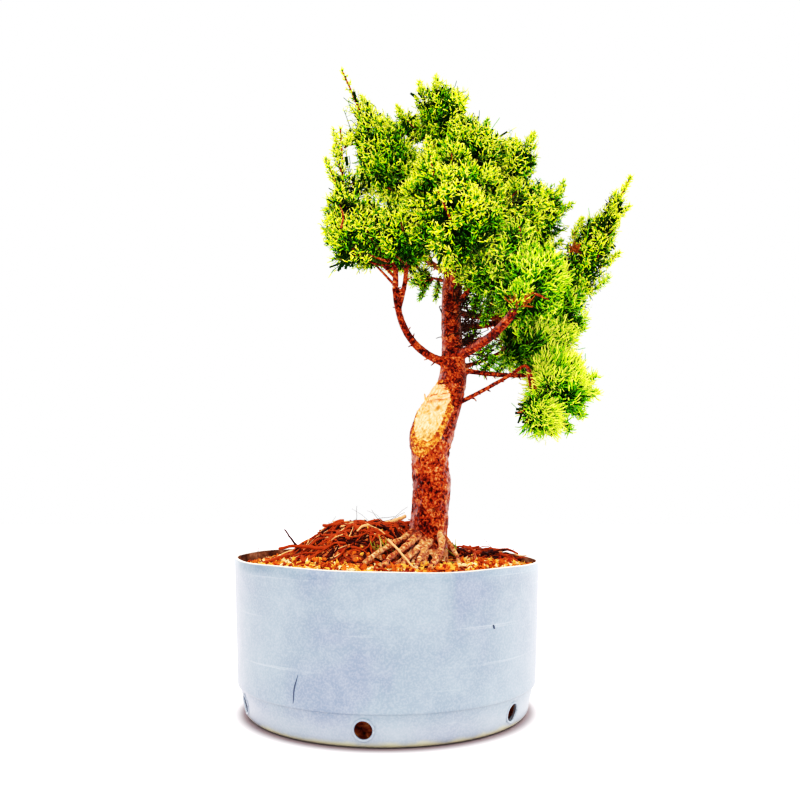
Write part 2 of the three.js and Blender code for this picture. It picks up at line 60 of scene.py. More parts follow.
# The camera: place, upward pitch in degrees, lens and sensor, and the nearest that it sees, in metres.
CAMERA = SimpleNamespace(place=(12.7, -773.5, 191.5), pitch=8.2, lens=33.93, sensor=36, nearest=0.01)

# Studio: the fill from all round, the light off the white backdrop with the way to it and where it fades
# in, a broad soft light high up in front, the floor with its half width in metres, its own dark pinkish
# colour, the glow that makes it look pale and the width of the painted shadow round the pail's foot,
# where that glow fades out, and the picture's contrast as values and what they show as.
FILL_LIGHT = 0.38
BACKDROP = SimpleNamespace(light=1.9, way=(0.5, 0.87, 0), fade=(-0.1, 0.5))
KEY_LIGHT = SimpleNamespace(power=3.2, softness=110, tilt=28, turn=-12)
FLOOR = SimpleNamespace(half=8.0, colour=(0.32, 0.26, 0.28), glow_and_painted_shadow=0.95, shade=12)
CONTRAST = [(0.03, 0.017), (0.12, 0.11), (0.4, 0.52)]

# Pail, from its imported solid: a tapered wall that steps in above a foot with drain holes, its rim cut
# unevenly, dents in the wall and a crust of mud inside.
POT_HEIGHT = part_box("pot")[1].z / MM
RIM_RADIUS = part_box("pot")[1].x / MM
SHOULDER_RADIUS = RIM_RADIUS - 6
FOOT_RADIUS = RIM_RADIUS - 13
POT = SimpleNamespace(wall=2.6, floor=3.2, step_height=28, step_rise=4, step_depth=2.5, corner=8, sides=192)
STEP_RADIUS = SHOULDER_RADIUS - POT.step_depth
RIM = SimpleNamespace(
    droop=1.9, lowest=-60, rise=3.4, wave=0.35, waves=(3, 5, 9), sink=0.6, cut_from=0.6, rounding=0.7,
)
DENTS = SimpleNamespace(length=45, share=0.004, fade=(0.1, 0.4))
MUD = SimpleNamespace(crust=0.25, below_rim=0.9, up_wall=(1, 0.8, 0.6))
HOLES = SimpleNamespace(
    count=6, radius=8.4, height=15.5, first=-97, lip=1.3, lip_out=0.2, lip_in=0.5, lip_points=33,
    drill=12, drill_sides=28, press=14, pressed=(6, 17),
)

# Dark scratches on the pail's wall: where each starts and ends, as degrees round the pail and height; their
# radii, and how they waver.
SCRATCHES = [((-119.6, 56), (-121.8, 33)), ((-51.5, 94), (-51, 91))]
SCRATCH_RADII = (0.4, 0.6, 0.8, 0.9, 0.9, 0.8, 0.7, 0.6, 0.4)
SCRATCH_WAVER = SimpleNamespace(degrees=0.25, pace=9)

# Soil: a level bed with a mound, the tree's old root ball, and a hollow in front of the trunk.
SOIL = SimpleNamespace(level=141, mound_height=34, mound_centre=(-15, 4), mound_reach=100, mound_plateau=0.3)
HOLLOW = SimpleNamespace(centre=(46, -66), reach=62, depth=26, plateau=0.25)
LUMP = SimpleNamespace(height=2.4, length=(6, 6.6))
BED = SimpleNamespace(
    depth=2, edge_depth=7, edge_width=36, rings=60, sides=168, gap=0.6, foot_gap=0.8, foot_height=9.5,
    over_floor=0.3, rough=1.1, rough_length=4.5, broad=0.7, broad_length=9, press_above=6,
)

# Grit on the bed: how many grains, their sizes, how far from the wall they stay, how few are left on the
# mound, where it starts and how much darker they are there; from which chance on a grain has which colour;
# and a crumb's long, middle and short side.
GRIT = SimpleNamespace(
    count=8500, size=(1.3, 1.5), clear=4, bare_mound=0.8, mound_edge=(0.75, 1.0), darker=0.35,
)
GRIT_CHANCES = {"pale": 0.86, "gold": 0.5, "orange": 0.2}
CRUMB_SIDES = (1.5, 1.0, 0.7)
GRIT_COLOURS = {
    "gold": (0.94, 0.44, 0.07),
    "orange": (0.70, 0.15, 0.015),
    "rust": (0.28, 0.022, 0.005),
    "pale": (0.97, 0.74, 0.36),
}

# What lies on the mound: kind, count, radius, length, how high it lies and how far its free end rises; how
# it runs and tapers, and snags with it.
ROOT_MAT = [
    ("dark", 420, 0.9, 26, 3, 2),
    ("rust", 460, 1.1, 22, 4, 2),
    ("pale", 150, 0.9, 15, 4, 2),
    ("rust", 110, 2.0, 26, 4, 3),
    ("dark", 60, 1.7, 30, 4, 3),
    ("pale", 14, 1.4, 24, 5, 4),
    ("dark", 46, 0.35, 34, 2, 22),
]
ROOT_COLOURS = {"dark": (0.045, 0.003, 0.002), "rust": (0.40, 0.055, 0.007), "pale": (0.80, 0.42, 0.19)}
MAT = SimpleNamespace(rings=7, spread=0.42, wander=0.16, free_power=1.5, taper=(1.1, 0.5))
SNAG = SimpleNamespace(rough=0.15, taper=(1.1, 0.7))

# A part of it lies beside the trunk, on the right: its share, middle, spread and how much higher it lies.
BESIDE = SimpleNamespace(share=0.2, middle=(88, 30), spread=(26, 28), lift=8)

# Snags of old wood: kind, radius and the points they run through.
SNAGS = [
    ("rust", 2.2, (-30, -6, 172), (-44, -12, 176), (-63, -20, 175)),
    ("rust", 2.0, (-40, -52, 152), (-66, -48, 155), (-86, -40, 156), (-103, -40, 154)),
    ("pale", 2.6, (-14, -6, 171), (-4, -12, 176), (8, -17, 180), (18, -20, 184)),
    ("pale", 1.2, (2, -62, 163), (13, -96, 153), (24, -130, 143)),
    ("dark", 1.0, (-86, -40, 156), (-92, -42, 164), (-98, -40, 172)),
]

# Weeds: root, spread, height and how many blades; moss: middle, spread and how many crumbs.
WEEDS = [
    ((-9, -62, 150), 4, 13, 4), ((2, -60, 152), 4, 14, 4), ((66, -40, 146), 5, 13, 6),
    ((-5, -64, 150), 5, 10, 3),
]
BLADE_RADII = (0.45, 0.6, 0.35)
MOSS = [((60, -58, 150), 7, 120), ((52, -72, 148), 5, 60), ((4, -62, 152), 5, 50), ((28, -96, 146), 4, 40)]

# Stations up the middle of the trunk and of the sawn stub: x, y, height and radius.
TRUNK = [
    (40, -25, 131, 21), (40, -25, 158, 19.4), (42, -25, 190, 18.8), (44, -25, 215, 19), (42, -25, 240, 18.6),
    (46, -24, 268, 20.5), (57, -22, 292, 17), (66, -20, 322, 14.6), (66.5, -17, 352, 11.4),
    (65.5, -14, 385, 10.6), (68, -8, 428, 10.4), (71.5, 0, 476, 8.2), (70, 5, 523, 6.2), (63, 11, 585, 3.6),
]
STUB = [(42, -25, 236, 15), (43, -25, 262, 21.5), (56, -26, 312, 12)]

# The saw cut: a block that takes off part of the stub, the leaf-shaped face that it leaves with the callus
# round it, a knot, the height of its top, and a splinter with its radii.
SCAR = SimpleNamespace(on=(38, -45, 258), facing=(-0.5, -0.75, 0.41), width=80, edge=17, height=62, depth=60)
SCAR_LEAF = SimpleNamespace(
    middle=(-1, 31), half=(18, 33), power=2.6, even=2, ragged=1.4, ragged_length=5, off_face=1.05,
    callus=2.6, callus_least=0.1, callus_turn=0.35, callus_full=0.9, lip=1.2, lip_at=1.3, lip_width=0.25,
    deepest=8, turned=0.2, far=100.0,
)
SCAR_KNOT = (50, -36, 290)
SCAR_TOP = 308
SPLINTER = [(37, -38, 291), (38, -38, 297), (37, -39, 303)]
SPLINTER_RADII = (1.8, 1.5, 0.8)

# Bark: the limbs' sides and the voxels of their common skin, how far a bough flares at its root, how much
# longer than wide the flakes are, and the relief's depth as a share of a limb's radius, with the least and
# the most; the relief's lengths and heights.
BARK = SimpleNamespace(
    sides=14, voxel=1.25, smoothing=2, flare=0.35, flare_points=2, flake_stretch=0.62, share=0.055,
    least=0.12, most=0.95,
)
RELIEF = SimpleNamespace(
    flake_length=5.5, fine_length=2.6, fine=0.6, lump_length=16, lump=0.9, ring_length=(16, 16, 3.6),
    ring=0.7, middle=0.5,
)

# Dark marks on the bark: middle and radius.
MARKS = [((45, -43, 191), 9), ((31, -41, 213), 6), ((36, -42, 236), 5)]

# Surface roots: where each one meets the soil and its radius at the trunk; its strands: offset and radius
# as shares.
ROOTS = [
    (2, -110, 5.6), (16, -118, 6), (32, -116, 5.6), (50, -98, 5.2), (4, -58, 5.6), (82, -6, 5.2),
    (48, 28, 5.2),
]
ROOT = SimpleNamespace(
    start_height=160, start_share=0.3, sink=9, arch=2, tip_share=0.5, weave=0.25, weave_turn=6,
    weave_apart=9, points=20, bark_below=6,
)
ROOT_STRANDS = ((-0.9, 0.3), (-0.05, 0.38), (0.8, 0.26))

# Strands that arch over them from the trunk's front: radius and the points they run through; their taper
# and knobs.
STRANDS = [
    (3.3, (33, -38, 169), (24, -58, 162), (16, -74, 156), (4, -100, 149), (-2, -118, 142)),
    (2.6, (37, -40, 164), (31, -58, 157), (26, -74, 152), (17, -98, 146), (13, -120, 141)),
    (2.9, (43, -41, 162), (37, -58, 156), (34, -72, 152), (29, -96, 146), (26, -118, 141)),
    (3.2, (50, -38, 169), (52, -54, 160), (49, -74, 152), (44, -96, 147), (38, -118, 141)),
    (2.8, (26, -36, 170), (12, -54, 162), (2, -66, 157), (-9, -84, 151), (-18, -104, 145)),
    (1.3, (40, -40, 163), (33, -62, 156), (21, -86, 151), (8, -112, 145)),
    (2.2, (56, -34, 166), (62, -46, 155), (66, -62, 147), (66, -80, 142)),
]
STRAND = SimpleNamespace(taper=(1.15, 0.75), knobs=0.35, knob_length=7)

# Boughs: what each grows on, at what height, its tip, its bow from a straight line and its radius at root
# and tip.
BOUGHS = {
    "left_outer": ("trunk", 337, (8, -50, 410), (-13.5, -3, -15), (5, 3.4)),
    "left_inner": ("left_outer", 388, (19, -50, 431), (2, 0, 0), (3.2, 2.6)),
    "upper_left": ("trunk", 476, (30, 3, 526), (-4, 0, -4), (4.4, 3)),
    "shoulder_right": ("trunk", 508, (119, 3, 541), (0, 0, -4), (3.8, 2.6)),
    "right_mid": ("trunk", 462, (137, 5, 487), (0, 3, -4), (4, 2.8)),
    "centre_front": ("trunk", 412, (67, -47, 446), (0, -5, -5), (4.2, 3)),
    "centre_low": ("trunk", 396, (88, -38, 419), (0, -3, -3), (3.6, 2.6)),
    "centre_right": ("trunk", 436, (104, -18, 474), (2, 0, -4), (3.8, 2.6)),
    "right_front": ("trunk", 344, (121, -95, 377), (6, -2, -4), (6, 4)),
    "right_far": ("trunk", 376, (186, 4, 416), (0, 14, -6), (4.4, 3)),
    "right_lobe": ("trunk", 358, (168, 8, 400), (0, 8, -6), (3.6, 2.6)),
    "right_under": ("trunk", 334, (120, -4, 354), (0, 4, -3), (3, 2.2)),
    "right_low": ("trunk", 333, (152, -36, 324), (4, 0, -4), (3.2, 2.4)),
    "low_tuft": ("trunk", 290, (123, -50, 322), (-6, -4, -5), (3.2, 2.2)),
    "back_left": ("trunk", 440, (37, 54, 483), (-2, 3, -5), (4.4, 3)),
    "back_centre": ("trunk", 492, (68, 52, 546), (0, 4, -4), (4.2, 2.8)),
    "back_right": ("trunk", 450, (122, 56, 474), (0, 5, -4), (4.4, 3)),
    "back_low": ("trunk", 396, (136, 58, 408), (0, 8, -3), (4, 2.8)),
}
BOUGH_POINTS = 24

# Masses, each on the bough of its name or at a height on the trunk: the middle of its space, the way its
# leader points, the half length along that way, the half width across it, its spire's length and that
# height.
MASSES = {
    "left_outer": ((-35, -54, 466), (-0.12, -0.06, 1), 56, 36, 50, None),
    "left_inner": ((18, -54, 463), (0.8, 0, 0.35), 42, 36, 0, None),
    "upper_left": ((-4, 5, 569), (-0.41, 0, 0.9), 60, 40, 56, None),
    "apex": ((61, 15, 625), (-0.05, 0.05, 1), 43, 34, 0, 585),
    "apex_left": ((24, 8, 608), (-0.9, 0, 0.3), 24, 16, 0, 574),
    "top_right": ((86, -18, 560), (0.4, -0.2, 0.8), 40, 38, 0, 540),
    "shoulder_right": ((138, 4, 559), (0.35, -0.1, 0.93), 36, 28, 0, None),
    "right_mid": ((156, 5, 504), (0.5, -0.1, 0.85), 47, 35, 0, None),
    "centre_front": ((66, -86, 474), (-0.34, -0.16, 0.92), 64, 50, 0, None),
    "centre_low": ((108, -55, 435), (0.7, -0.5, 0.3), 42, 40, 0, None),
    "centre_right": ((131, -30, 489), (0.6, -0.3, 0.7), 37, 34, 0, None),
    "right_front": ((140, -62, 410), (0.5, -0.4, 0.5), 42, 38, 0, None),
    "right_far": ((214, 0, 462), (0.5, 0, 0.87), 80, 26, 18, None),
    "right_lobe": ((178, 3, 398), (-0.25, 0, -0.95), 46, 32, 0, None),
    "right_under": ((148, -12, 361), (0.9, 0, 0.1), 42, 31, 0, None),
    "right_low": ((167, -39, 312), (0.9, -0.2, -0.1), 35, 37, 0, None),
    "low_tuft": ((145, -58, 279), (0.3, -0.2, -0.8), 24, 23, 0, None),
    "under_left": ((40, 14, 438), (-0.6, 0.3, -0.6), 21, 16, 0, 427),
    "back_left": ((12, 84, 505), (-0.5, 0.5, 0.6), 44, 38, 0, None),
    "back_centre": ((66, 84, 582), (0, 0.4, 0.8), 54, 46, 0, None),
    "back_right": ((149, 84, 487), (0.5, 0.5, 0.5), 52, 45, 0, None),
    "back_low": ((158, 78, 408), (0.5, 0.6, 0.1), 42, 36, 0, None),
}
CROWN = SimpleNamespace(blend=8, rough=11, rough_length=26, fine=4, fine_length=12, inset=3)
SPIRE_TAPER = 1.3
LEADER = SimpleNamespace(share=0.4, radius=(2.6, 0.9), bend=0.3, short_of_tip=2, points=25)
FORK_DEGREES = 50
MARCH = 1.5

# Finer growth: the twigs of a mass, by its skin, their sprays, the shoots of a spray and the broad ones
# inside, near black as painted shade.
GROWTH = SimpleNamespace(
    twig_skin=1000, twig_share=0.8, twig_radius=(1.5, 0.7), twig_points=7, fewest_twigs=7, shortest_twig=6,
    bow=2.2, sag=1.5, spray_skin=60, spray_length=21, shortest_spray=8, stem_width=1.1, stem_taper=0.6,
    border=0.8, border_share=0.3, jitter=5, stand_out=8, inner_depth=11, inner_share=0.5,
)
SHOOT = SimpleNamespace(
    per_spray=16, first=0.3, lean=(1.5, 0.7), least_lean=0.1, wild_lean=0.85, lean_chance=0.45,
    least_length=0.65, length_chance=0.6, parts=(0.36, 0.32, 0.32), width=(0.9, 1.0, 1.05, 0.8),
    tilt=0.5, curl=1.5, sway=0.5, lift=0.35, onward=0.2, clear=0.8,
)
INNER_SHOOT = SimpleNamespace(per_spray=6, length=11, width=(3.2, 2.6), clear=1.5)

# Low shoots are long and straight, high ones short and wild: height, and length or wildness there.
SHOOT_LENGTHS = ((330, 14.0), (460, 7.5))
SHOOT_WILDNESS = ((330, 0.2), (460, 1.0))

# Light on a spray: what facing up and to the front adds and a crease takes away, and chance by twig and by
# spray.
LIGHT = SimpleNamespace(up=0.8, front=0.2, crease=1.8, twig_chance=0.15, spray_chance=0.2)

# Dead wood: stubs along the limbs and bare twigs on the trunk under the crown. Whips are single live shoots
# that stand out of the crown.
STUBS = SimpleNamespace(
    spacing=7.5, first=0.2, first_on_trunk=0.6, last=0.95, length=(2, 8), radius=(1.1, 0.5), lean=1.1,
    kink=0.4,
)
BARE_TWIGS = SimpleNamespace(
    count=56, points=7, heights=(345, 440), length=(18, 46), radius=(0.9, 0.4), turn=(-75, 115),
    least_rise=-0.8, rise_chance=2.2, fork=0.55, fork_length=0.4, fork_turn=0.6, bow=5, kink=0.5,
)
WHIPS = SimpleNamespace(skin=1300, length=(8, 15), radius=0.42, depth=6, turn=0.45, lift=0.4, kink=0.3)

# Plain colours of the foliage, from light to dark, and of what died back; the ladders that high and low
# shoots take. The ladders paint light and shade into the shoots: pale is a painted highlight, shade and
# deep are painted shade, and the steps between mix the shoots' own tones with painted light and shade.
FOLIAGE_COLOURS = {
    "pale": (1.0, 1.0, 0.16),
    "lime": (0.88, 0.98, 0.004),
    "spring": (0.68, 0.97, 0.02),
    "yellow": (0.50, 0.80, 0.002),
    "fresh": (0.36, 0.72, 0.003),
    "leaf": (0.17, 0.55, 0.002),
    "green": (0.05, 0.28, 0.002),
    "shade": (0.014, 0.11, 0.001),
    "deep": (0.005, 0.030, 0.001),
    "brown": (0.40, 0.10, 0.015),
}
WOODY_KINDS = ("twigs", "dead_twigs", "stems")
LADDER = ["pale", "lime", "yellow", "leaf", "green", "shade", "deep"]
LOW_LADDER = ["pale", "spring", "fresh", "leaf", "green", "shade", "deep"]

# Steps down that ladder, which paint light and shade: where no light is to spare, per unit of light, along
# a spray's stem and at a shoot's foot, middle and tip, partly the shoots' own paler tips and partly painted
# shade at their feet, and by chance; a few shoots glint steps higher, as painted highlights. Some masses
# are painted darker or lighter than the rest, by steps.
STEP = SimpleNamespace(middle=1.8, light=2.9, stem=2.6, parts=(4, 1, 0), chance=0.6, glints=0.12, glint=2)
SHADED = {
    "top_right": 3.0, "right_mid": 1.6, "right_front": 2.0, "right_under": 0.8, "centre_low": 0.5,
    "left_outer": -0.5, "upper_left": -0.6, "right_lobe": 0.4, "shoulder_right": 0.5,
}

# Plumes that stand out of the crown or hang under it: the mass each is part of, its root, tip and half
# width; their sprays, shoots and light.
PLUMES = [
    ("centre_front", (44, -122, 492), (38, -122, 526), 10),
    ("left_outer", (-46, -60, 525), (-53, -60, 548), 9),
    ("left_outer", (-47, -58, 540), (-54, -58, 568), 6), ("left_outer", (-43, -58, 551), (-38, -58, 562), 3),
    ("upper_left", (-16, 5, 623), (-29, 5, 641), 8), ("apex_left", (18, 5, 613), (10, 5, 630), 8),
    ("apex", (54, 15, 652), (54, 15, 671), 9), ("apex", (40, 15, 647), (35, 15, 664), 7),
    ("shoulder_right", (149, -4, 578), (158, -4, 594), 8), ("top_right", (103, -10, 587), (107, -10, 605), 8),
    ("right_mid", (182, 4, 520), (190, 4, 541), 9), ("right_mid", (179, 4, 504), (198, 4, 517), 6),
    ("right_mid", (169, 4, 462), (185, 4, 475), 8), ("right_far", (197, 0, 478), (208, 0, 498), 6),
    ("right_far", (240, 0, 494), (258, 0, 512), 7), ("right_far", (225, 0, 445), (245, 0, 460), 9),
    ("right_lobe", (212, 3, 417), (233, 3, 433), 7), ("right_lobe", (187, 3, 369), (206, 3, 380), 8),
    ("right_low", (182, -39, 311), (204, -39, 320), 9), ("right_low", (184, -39, 299), (204, -39, 304), 8),
    ("right_low", (172, -39, 289), (191, -39, 283), 6), ("right_low", (163, -44, 283), (176, -44, 269), 6),
    ("under_left", (45, 14, 443), (35, 14, 417), 9), ("under_left", (56, 10, 439), (51, 10, 415), 5),
    ("right_under", (137, -6, 359), (108, -6, 342), 9), ("right_under", (133, -6, 352), (114, -6, 331), 8),
    ("right_under", (130, 0, 369), (96, 0, 354), 7), ("centre_low", (108, -30, 405), (98, -30, 378), 9),
    ("centre_low", (94, -30, 414), (88, -30, 395), 8), ("right_front", (121, -102, 375), (132, -102, 394), 9),
    ("right_front", (115, -104, 380), (121, -104, 395), 8),
    ("left_outer", (-51, -60, 512), (-61, -60, 537), 8),
    ("right_under", (110, -6, 355), (89, -10, 339), 6), ("right_under", (114, -6, 348), (99, -10, 332), 6),
    ("right_front", (116, -108, 366), (126, -110, 390), 9), ("right_under", (84, -5, 427), (80, -8, 404), 7),
    ("right_under", (97, -5, 417), (90, -8, 395), 7), ("right_under", (109, -5, 408), (102, -8, 388), 6),
    ("right_under", (92, -5, 378), (82, -8, 359), 6),
]
PLUME = SimpleNamespace(
    sprays=18, radius=(1.2, 0.5), out=0.8, shoot=0.6, wild=0.6, tip_width=2, on_spire=(-0.3, 0.97),
    light=0.3, light_up=0.5, light_chance=0.4,
)

# More of them, out of the back of every mass and along the boughs of the back: how many on each, their
# sprays, length and half width.
BACK = SimpleNamespace(
    on_mass=13, on_bough=9, sprays=10, length=(18, 32), wide=9, backward=0.3, depth=0.8, lift=0.4,
    bough_part=(0.4, 1), onward=0.3, sight=(0.01, 0.3), sight_steps=30,
)
BACK_BOUGHS = ("back", "right_far", "right_lobe")

# Bare red stems that show on the crown's front: the points they run through.
RED_STEMS = [
    ((64, -113, 445), (55, -124, 457), (50, -131, 466), (46, -128, 476)),
    ((-43, -92, 454), (-41, -92, 466), (-45, -88, 478)),
]

# Gaps where the sky or the dark inside shows through the crown: x, y, height and radius.
GAPS = np.array([
    (-27, -54, 398, 36), (-52, 5, 566, 20), (-43, 5, 613, 10), (104, -58, 281, 29), (150, -58, 240, 18),
    (134, -58, 248, 14), (19, 5, 517, 10), (20, 78, 548, 13), (19, 8, 599, 5), (-86, -54, 452, 26),
    (-26, -56, 545, 14), (163, -44, 260, 8), (161, 4, 552, 10), (130, -5, 594, 9), (226, 0, 530, 11),
    (89, -50, 540, 13), (127, -48, 500, 13), (69, -112, 435, 8), (93, -90, 421, 9), (58, -126, 467, 6),
], float)

# Tufts that died back: the root, way and length of each.
DEAD_TUFTS = [((119, -101, 372), (0.3, -0.6, 0.7), 17), ((193, -24, 452), (0, -0.8, 0.4), 10)]
DEAD_SPRAYS = SimpleNamespace(count=8, shoots=7)


# Small vector help.
def unit(vectors):
    return vectors / np.maximum(np.linalg.norm(vectors, axis=-1, keepdims=True), 1e-9)


def lerp(low, high, share):
    return low + (high - low) * share


def smoothstep(low, high, value):
    share = np.clip((value - low) / (high - low), 0, 1)
    return share * share * (3 - 2 * share)


def lattice_noise(points, seed=0):
    """Smooth noise from -1 to 1, one lattice cell per unit."""
    cell = np.floor(points).astype(np.int64)
    part = points - cell
    part = part * part * (3 - 2 * part)
    total = np.zeros(len(points))
    for corner in np.ndindex(2, 2, 2):
        x, y, z = (cell + corner).T
        mixed = (x * 73856093) ^ (y * 19349663) ^ (z * 83492791) ^ (seed * 40503)
        mixed = (mixed ^ (mixed >> 13)) * 1274126177 & 0x7FFFFFFF
        mixed = (mixed ^ (mixed >> 15)) * 668265263 & 0x7FFFFFFF
        weight = np.prod(np.where(corner, part, 1 - part), axis=1)
        total += weight * (mixed / 0x3FFFFFFF - 1)
    return total


# Curves.
def smooth_line(points, per_span):
    """Points along a centripetal Catmull-Rom curve through some points."""
    points = np.asarray(points, float)
    ends = np.vstack([2 * points[0] - points[1], points, 2 * points[-1] - points[-2]])
    steps = np.sqrt(np.linalg.norm(np.diff(ends, axis=0), axis=1))
    t = np.linspace(0, 1, per_span, endpoint=False)[:, None]
    line = []
    for i in range(1, len(points)):
        before, start, end, after = ends[i - 1:i + 3]
        a, b, c = steps[i - 1:i + 2]
        leave = b * ((start - before) / a - (end - before) / (a + b) + (end - start) / b)
        arrive = b * ((end - start) / b - (after - start) / (b + c) + (after - end) / c)
        bend = 3 * (end - start) - 2 * leave - arrive
        twist = 2 * (start - end) + leave + arrive
        line.append(start + leave * t + bend * t**2 + twist * t**3)
    return np.vstack([*line, points[-1:]])


def bent_line(start, control, end, count):
    """Points along a quadratic curve."""
    t = np.linspace(0, 1, count)[:, None]
    return start * (1 - t)**2 + 2 * control * t * (1 - t) + end * t**2


def at_share(line, share):
    """Points of a line at shares of its length."""
    lengths = np.r_[0, np.cumsum(np.linalg.norm(np.diff(line[:, :3], axis=0), axis=1))]
    along = np.asarray(share) * lengths[-1]
    return np.stack([np.interp(along, lengths, column) for column in line.T], axis=-1)


def at_height(line, height):
    return np.array([np.interp(height, line[:, 2], column) for column in line.T])


# Meshes, gathered as places and triangles.
def tubes(lines, radii, sides, tip=0.0, closed=True):
    """Tubes round lines, (tubes, rings, 3), with radii, (tubes, rings); each ends in a point, tip beyond
    its line, and starts closed or open."""
    count, rings, _ = lines.shape
    ways = unit(np.gradient(lines, axis=1))
    helper = np.where(np.abs(ways[:, 0, 2:]) < 0.9, UP, RIGHT)
    normal = unit(np.cross(ways[:, 0], helper))
    angles = np.arange(sides) * 2 * math.pi / sides
    places = np.empty((count, rings * sides + 2, 3))
    for ring in range(rings):
        way = ways[:, ring]
        normal = unit(normal - way * np.sum(normal * way, axis=1, keepdims=True))
        across = np.cross(way, normal)
        circle = normal[:, None] * np.cos(angles)[:, None] + across[:, None] * np.sin(angles)[:, None]
        ring_places = lines[:, ring, None] + circle * radii[:, ring, None, None]
        places[:, ring * sides:(ring + 1) * sides] = ring_places
    places[:, -2] = lines[:, 0]
    places[:, -1] = lines[:, -1] + ways[:, -1] * tip
    faces = []
    for ring in range(rings - 1):
        for side in range(sides):
            a, b = ring * sides + side, ring * sides + (side + 1) % sides
            faces += [(a, b, b + sides), (a, b + sides, a + sides)]
    last = (rings - 1) * sides
    for side in range(sides):
        following = (side + 1) % sides
        faces.append((last + side, last + following, rings * sides + 1))
        if closed:
            faces.append((following, side, rings * sides))
    faces = np.array(faces)
    starts = np.arange(count)[:, None, None] * (rings * sides + 2)
    return places.reshape(-1, 3), (faces + starts).reshape(-1, 3)


def strips(lines, widths, facing):
    """Flat strips along lines of two points, (strips, 2, 3), as wide as told at both ends, with the ways
    they face."""
    across = unit(np.cross(lines[:, 1] - lines[:, 0], facing))
    sides = [lines[:, end] + across * (sign * widths[end]) for end in (0, 1) for sign in (-0.5, 0.5)]
    places = np.stack(sides, axis=1)
    starts = np.arange(len(lines))[:, None, None] * 4
    return places.reshape(-1, 3), (np.array([(0, 1, 3), (0, 3, 2)]) + starts).reshape(-1, 3)


def joined(chunks):
    """Several places and triangles as one."""
    starts = np.cumsum([0] + [len(places) for places, _ in chunks[:-1]])
    faces = np.vstack([faces + start for (_, faces), start in zip(chunks, starts)])
    return np.vstack([places for places, _ in chunks]), faces


def mesh_of(name, places, faces, smooth=True):
    """A mesh in metres of the places that triangles use."""
    used, faces = np.unique(faces, return_inverse=True)
    faces = faces.reshape(-1, 3).astype(np.int32)
    mesh = bpy.data.meshes.new(name)
    mesh.vertices.add(len(used))
    mesh.vertices.foreach_set("co", (places[used] * MM).astype(np.float32).ravel())
    mesh.loops.add(faces.size)
    mesh.loops.foreach_set("vertex_index", faces.ravel())
    mesh.polygons.add(len(faces))
    mesh.polygons.foreach_set("loop_start", np.arange(0, faces.size, 3, dtype=np.int32))
    mesh.polygons.foreach_set("use_smooth", np.full(len(faces), smooth))
    mesh.update(calc_edges=True)
    return mesh


def add_object(name, content):
    made = bpy.data.objects.new(name, content)
    bpy.context.scene.collection.objects.link(made)
    return made


def add_remesh(made, voxel):
    """One skin round all that an object's mesh holds."""
    modifier = made.modifiers.new("skin", "REMESH")
    modifier.mode = "VOXEL"
    modifier.voxel_size = voxel * MM


def add_cut(made, block):
    """Take a block off an object."""
    modifier = made.modifiers.new("cut", "BOOLEAN")
    modifier.operation = "DIFFERENCE"
    modifier.solver = "EXACT"
    modifier.object = block


def modified_mesh(made):
    return bpy.data.meshes.new_from_object(made.evaluated_get(bpy.context.evaluated_depsgraph_get()))


def piece(name, mesh, material, stands_for=()):
    """A piece of the object, which rides on its one body."""
    made = add_object(name, mesh)
    mesh.materials.clear()
    mesh.materials.append(material)
    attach(made, "root")
    if stands_for:
        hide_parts(*stands_for)
    return made


def pieces(name, chunks, material, stands_for=(), smooth=True):
    """Chunks of one kind, joined into as few pieces as the limit on triangles allows."""
    batches = [[]]
    for chunk in chunks:
        if sum(len(faces) for _, faces in batches[-1]) + len(chunk[1]) > PIECE_LIMIT:
            batches.append([])
        batches[-1].append(chunk)
    for number, batch in enumerate(batches, start=1):
        title = name if len(batches) == 1 else f"{name}_{number}"
        piece(title, mesh_of(title, *joined(batch), smooth), material, stands_for)


# Materials. A mix node has a socket for each type of data; these are the places of those for colours.
MIX = SimpleNamespace(share=0, one=6, other=7, result=2)


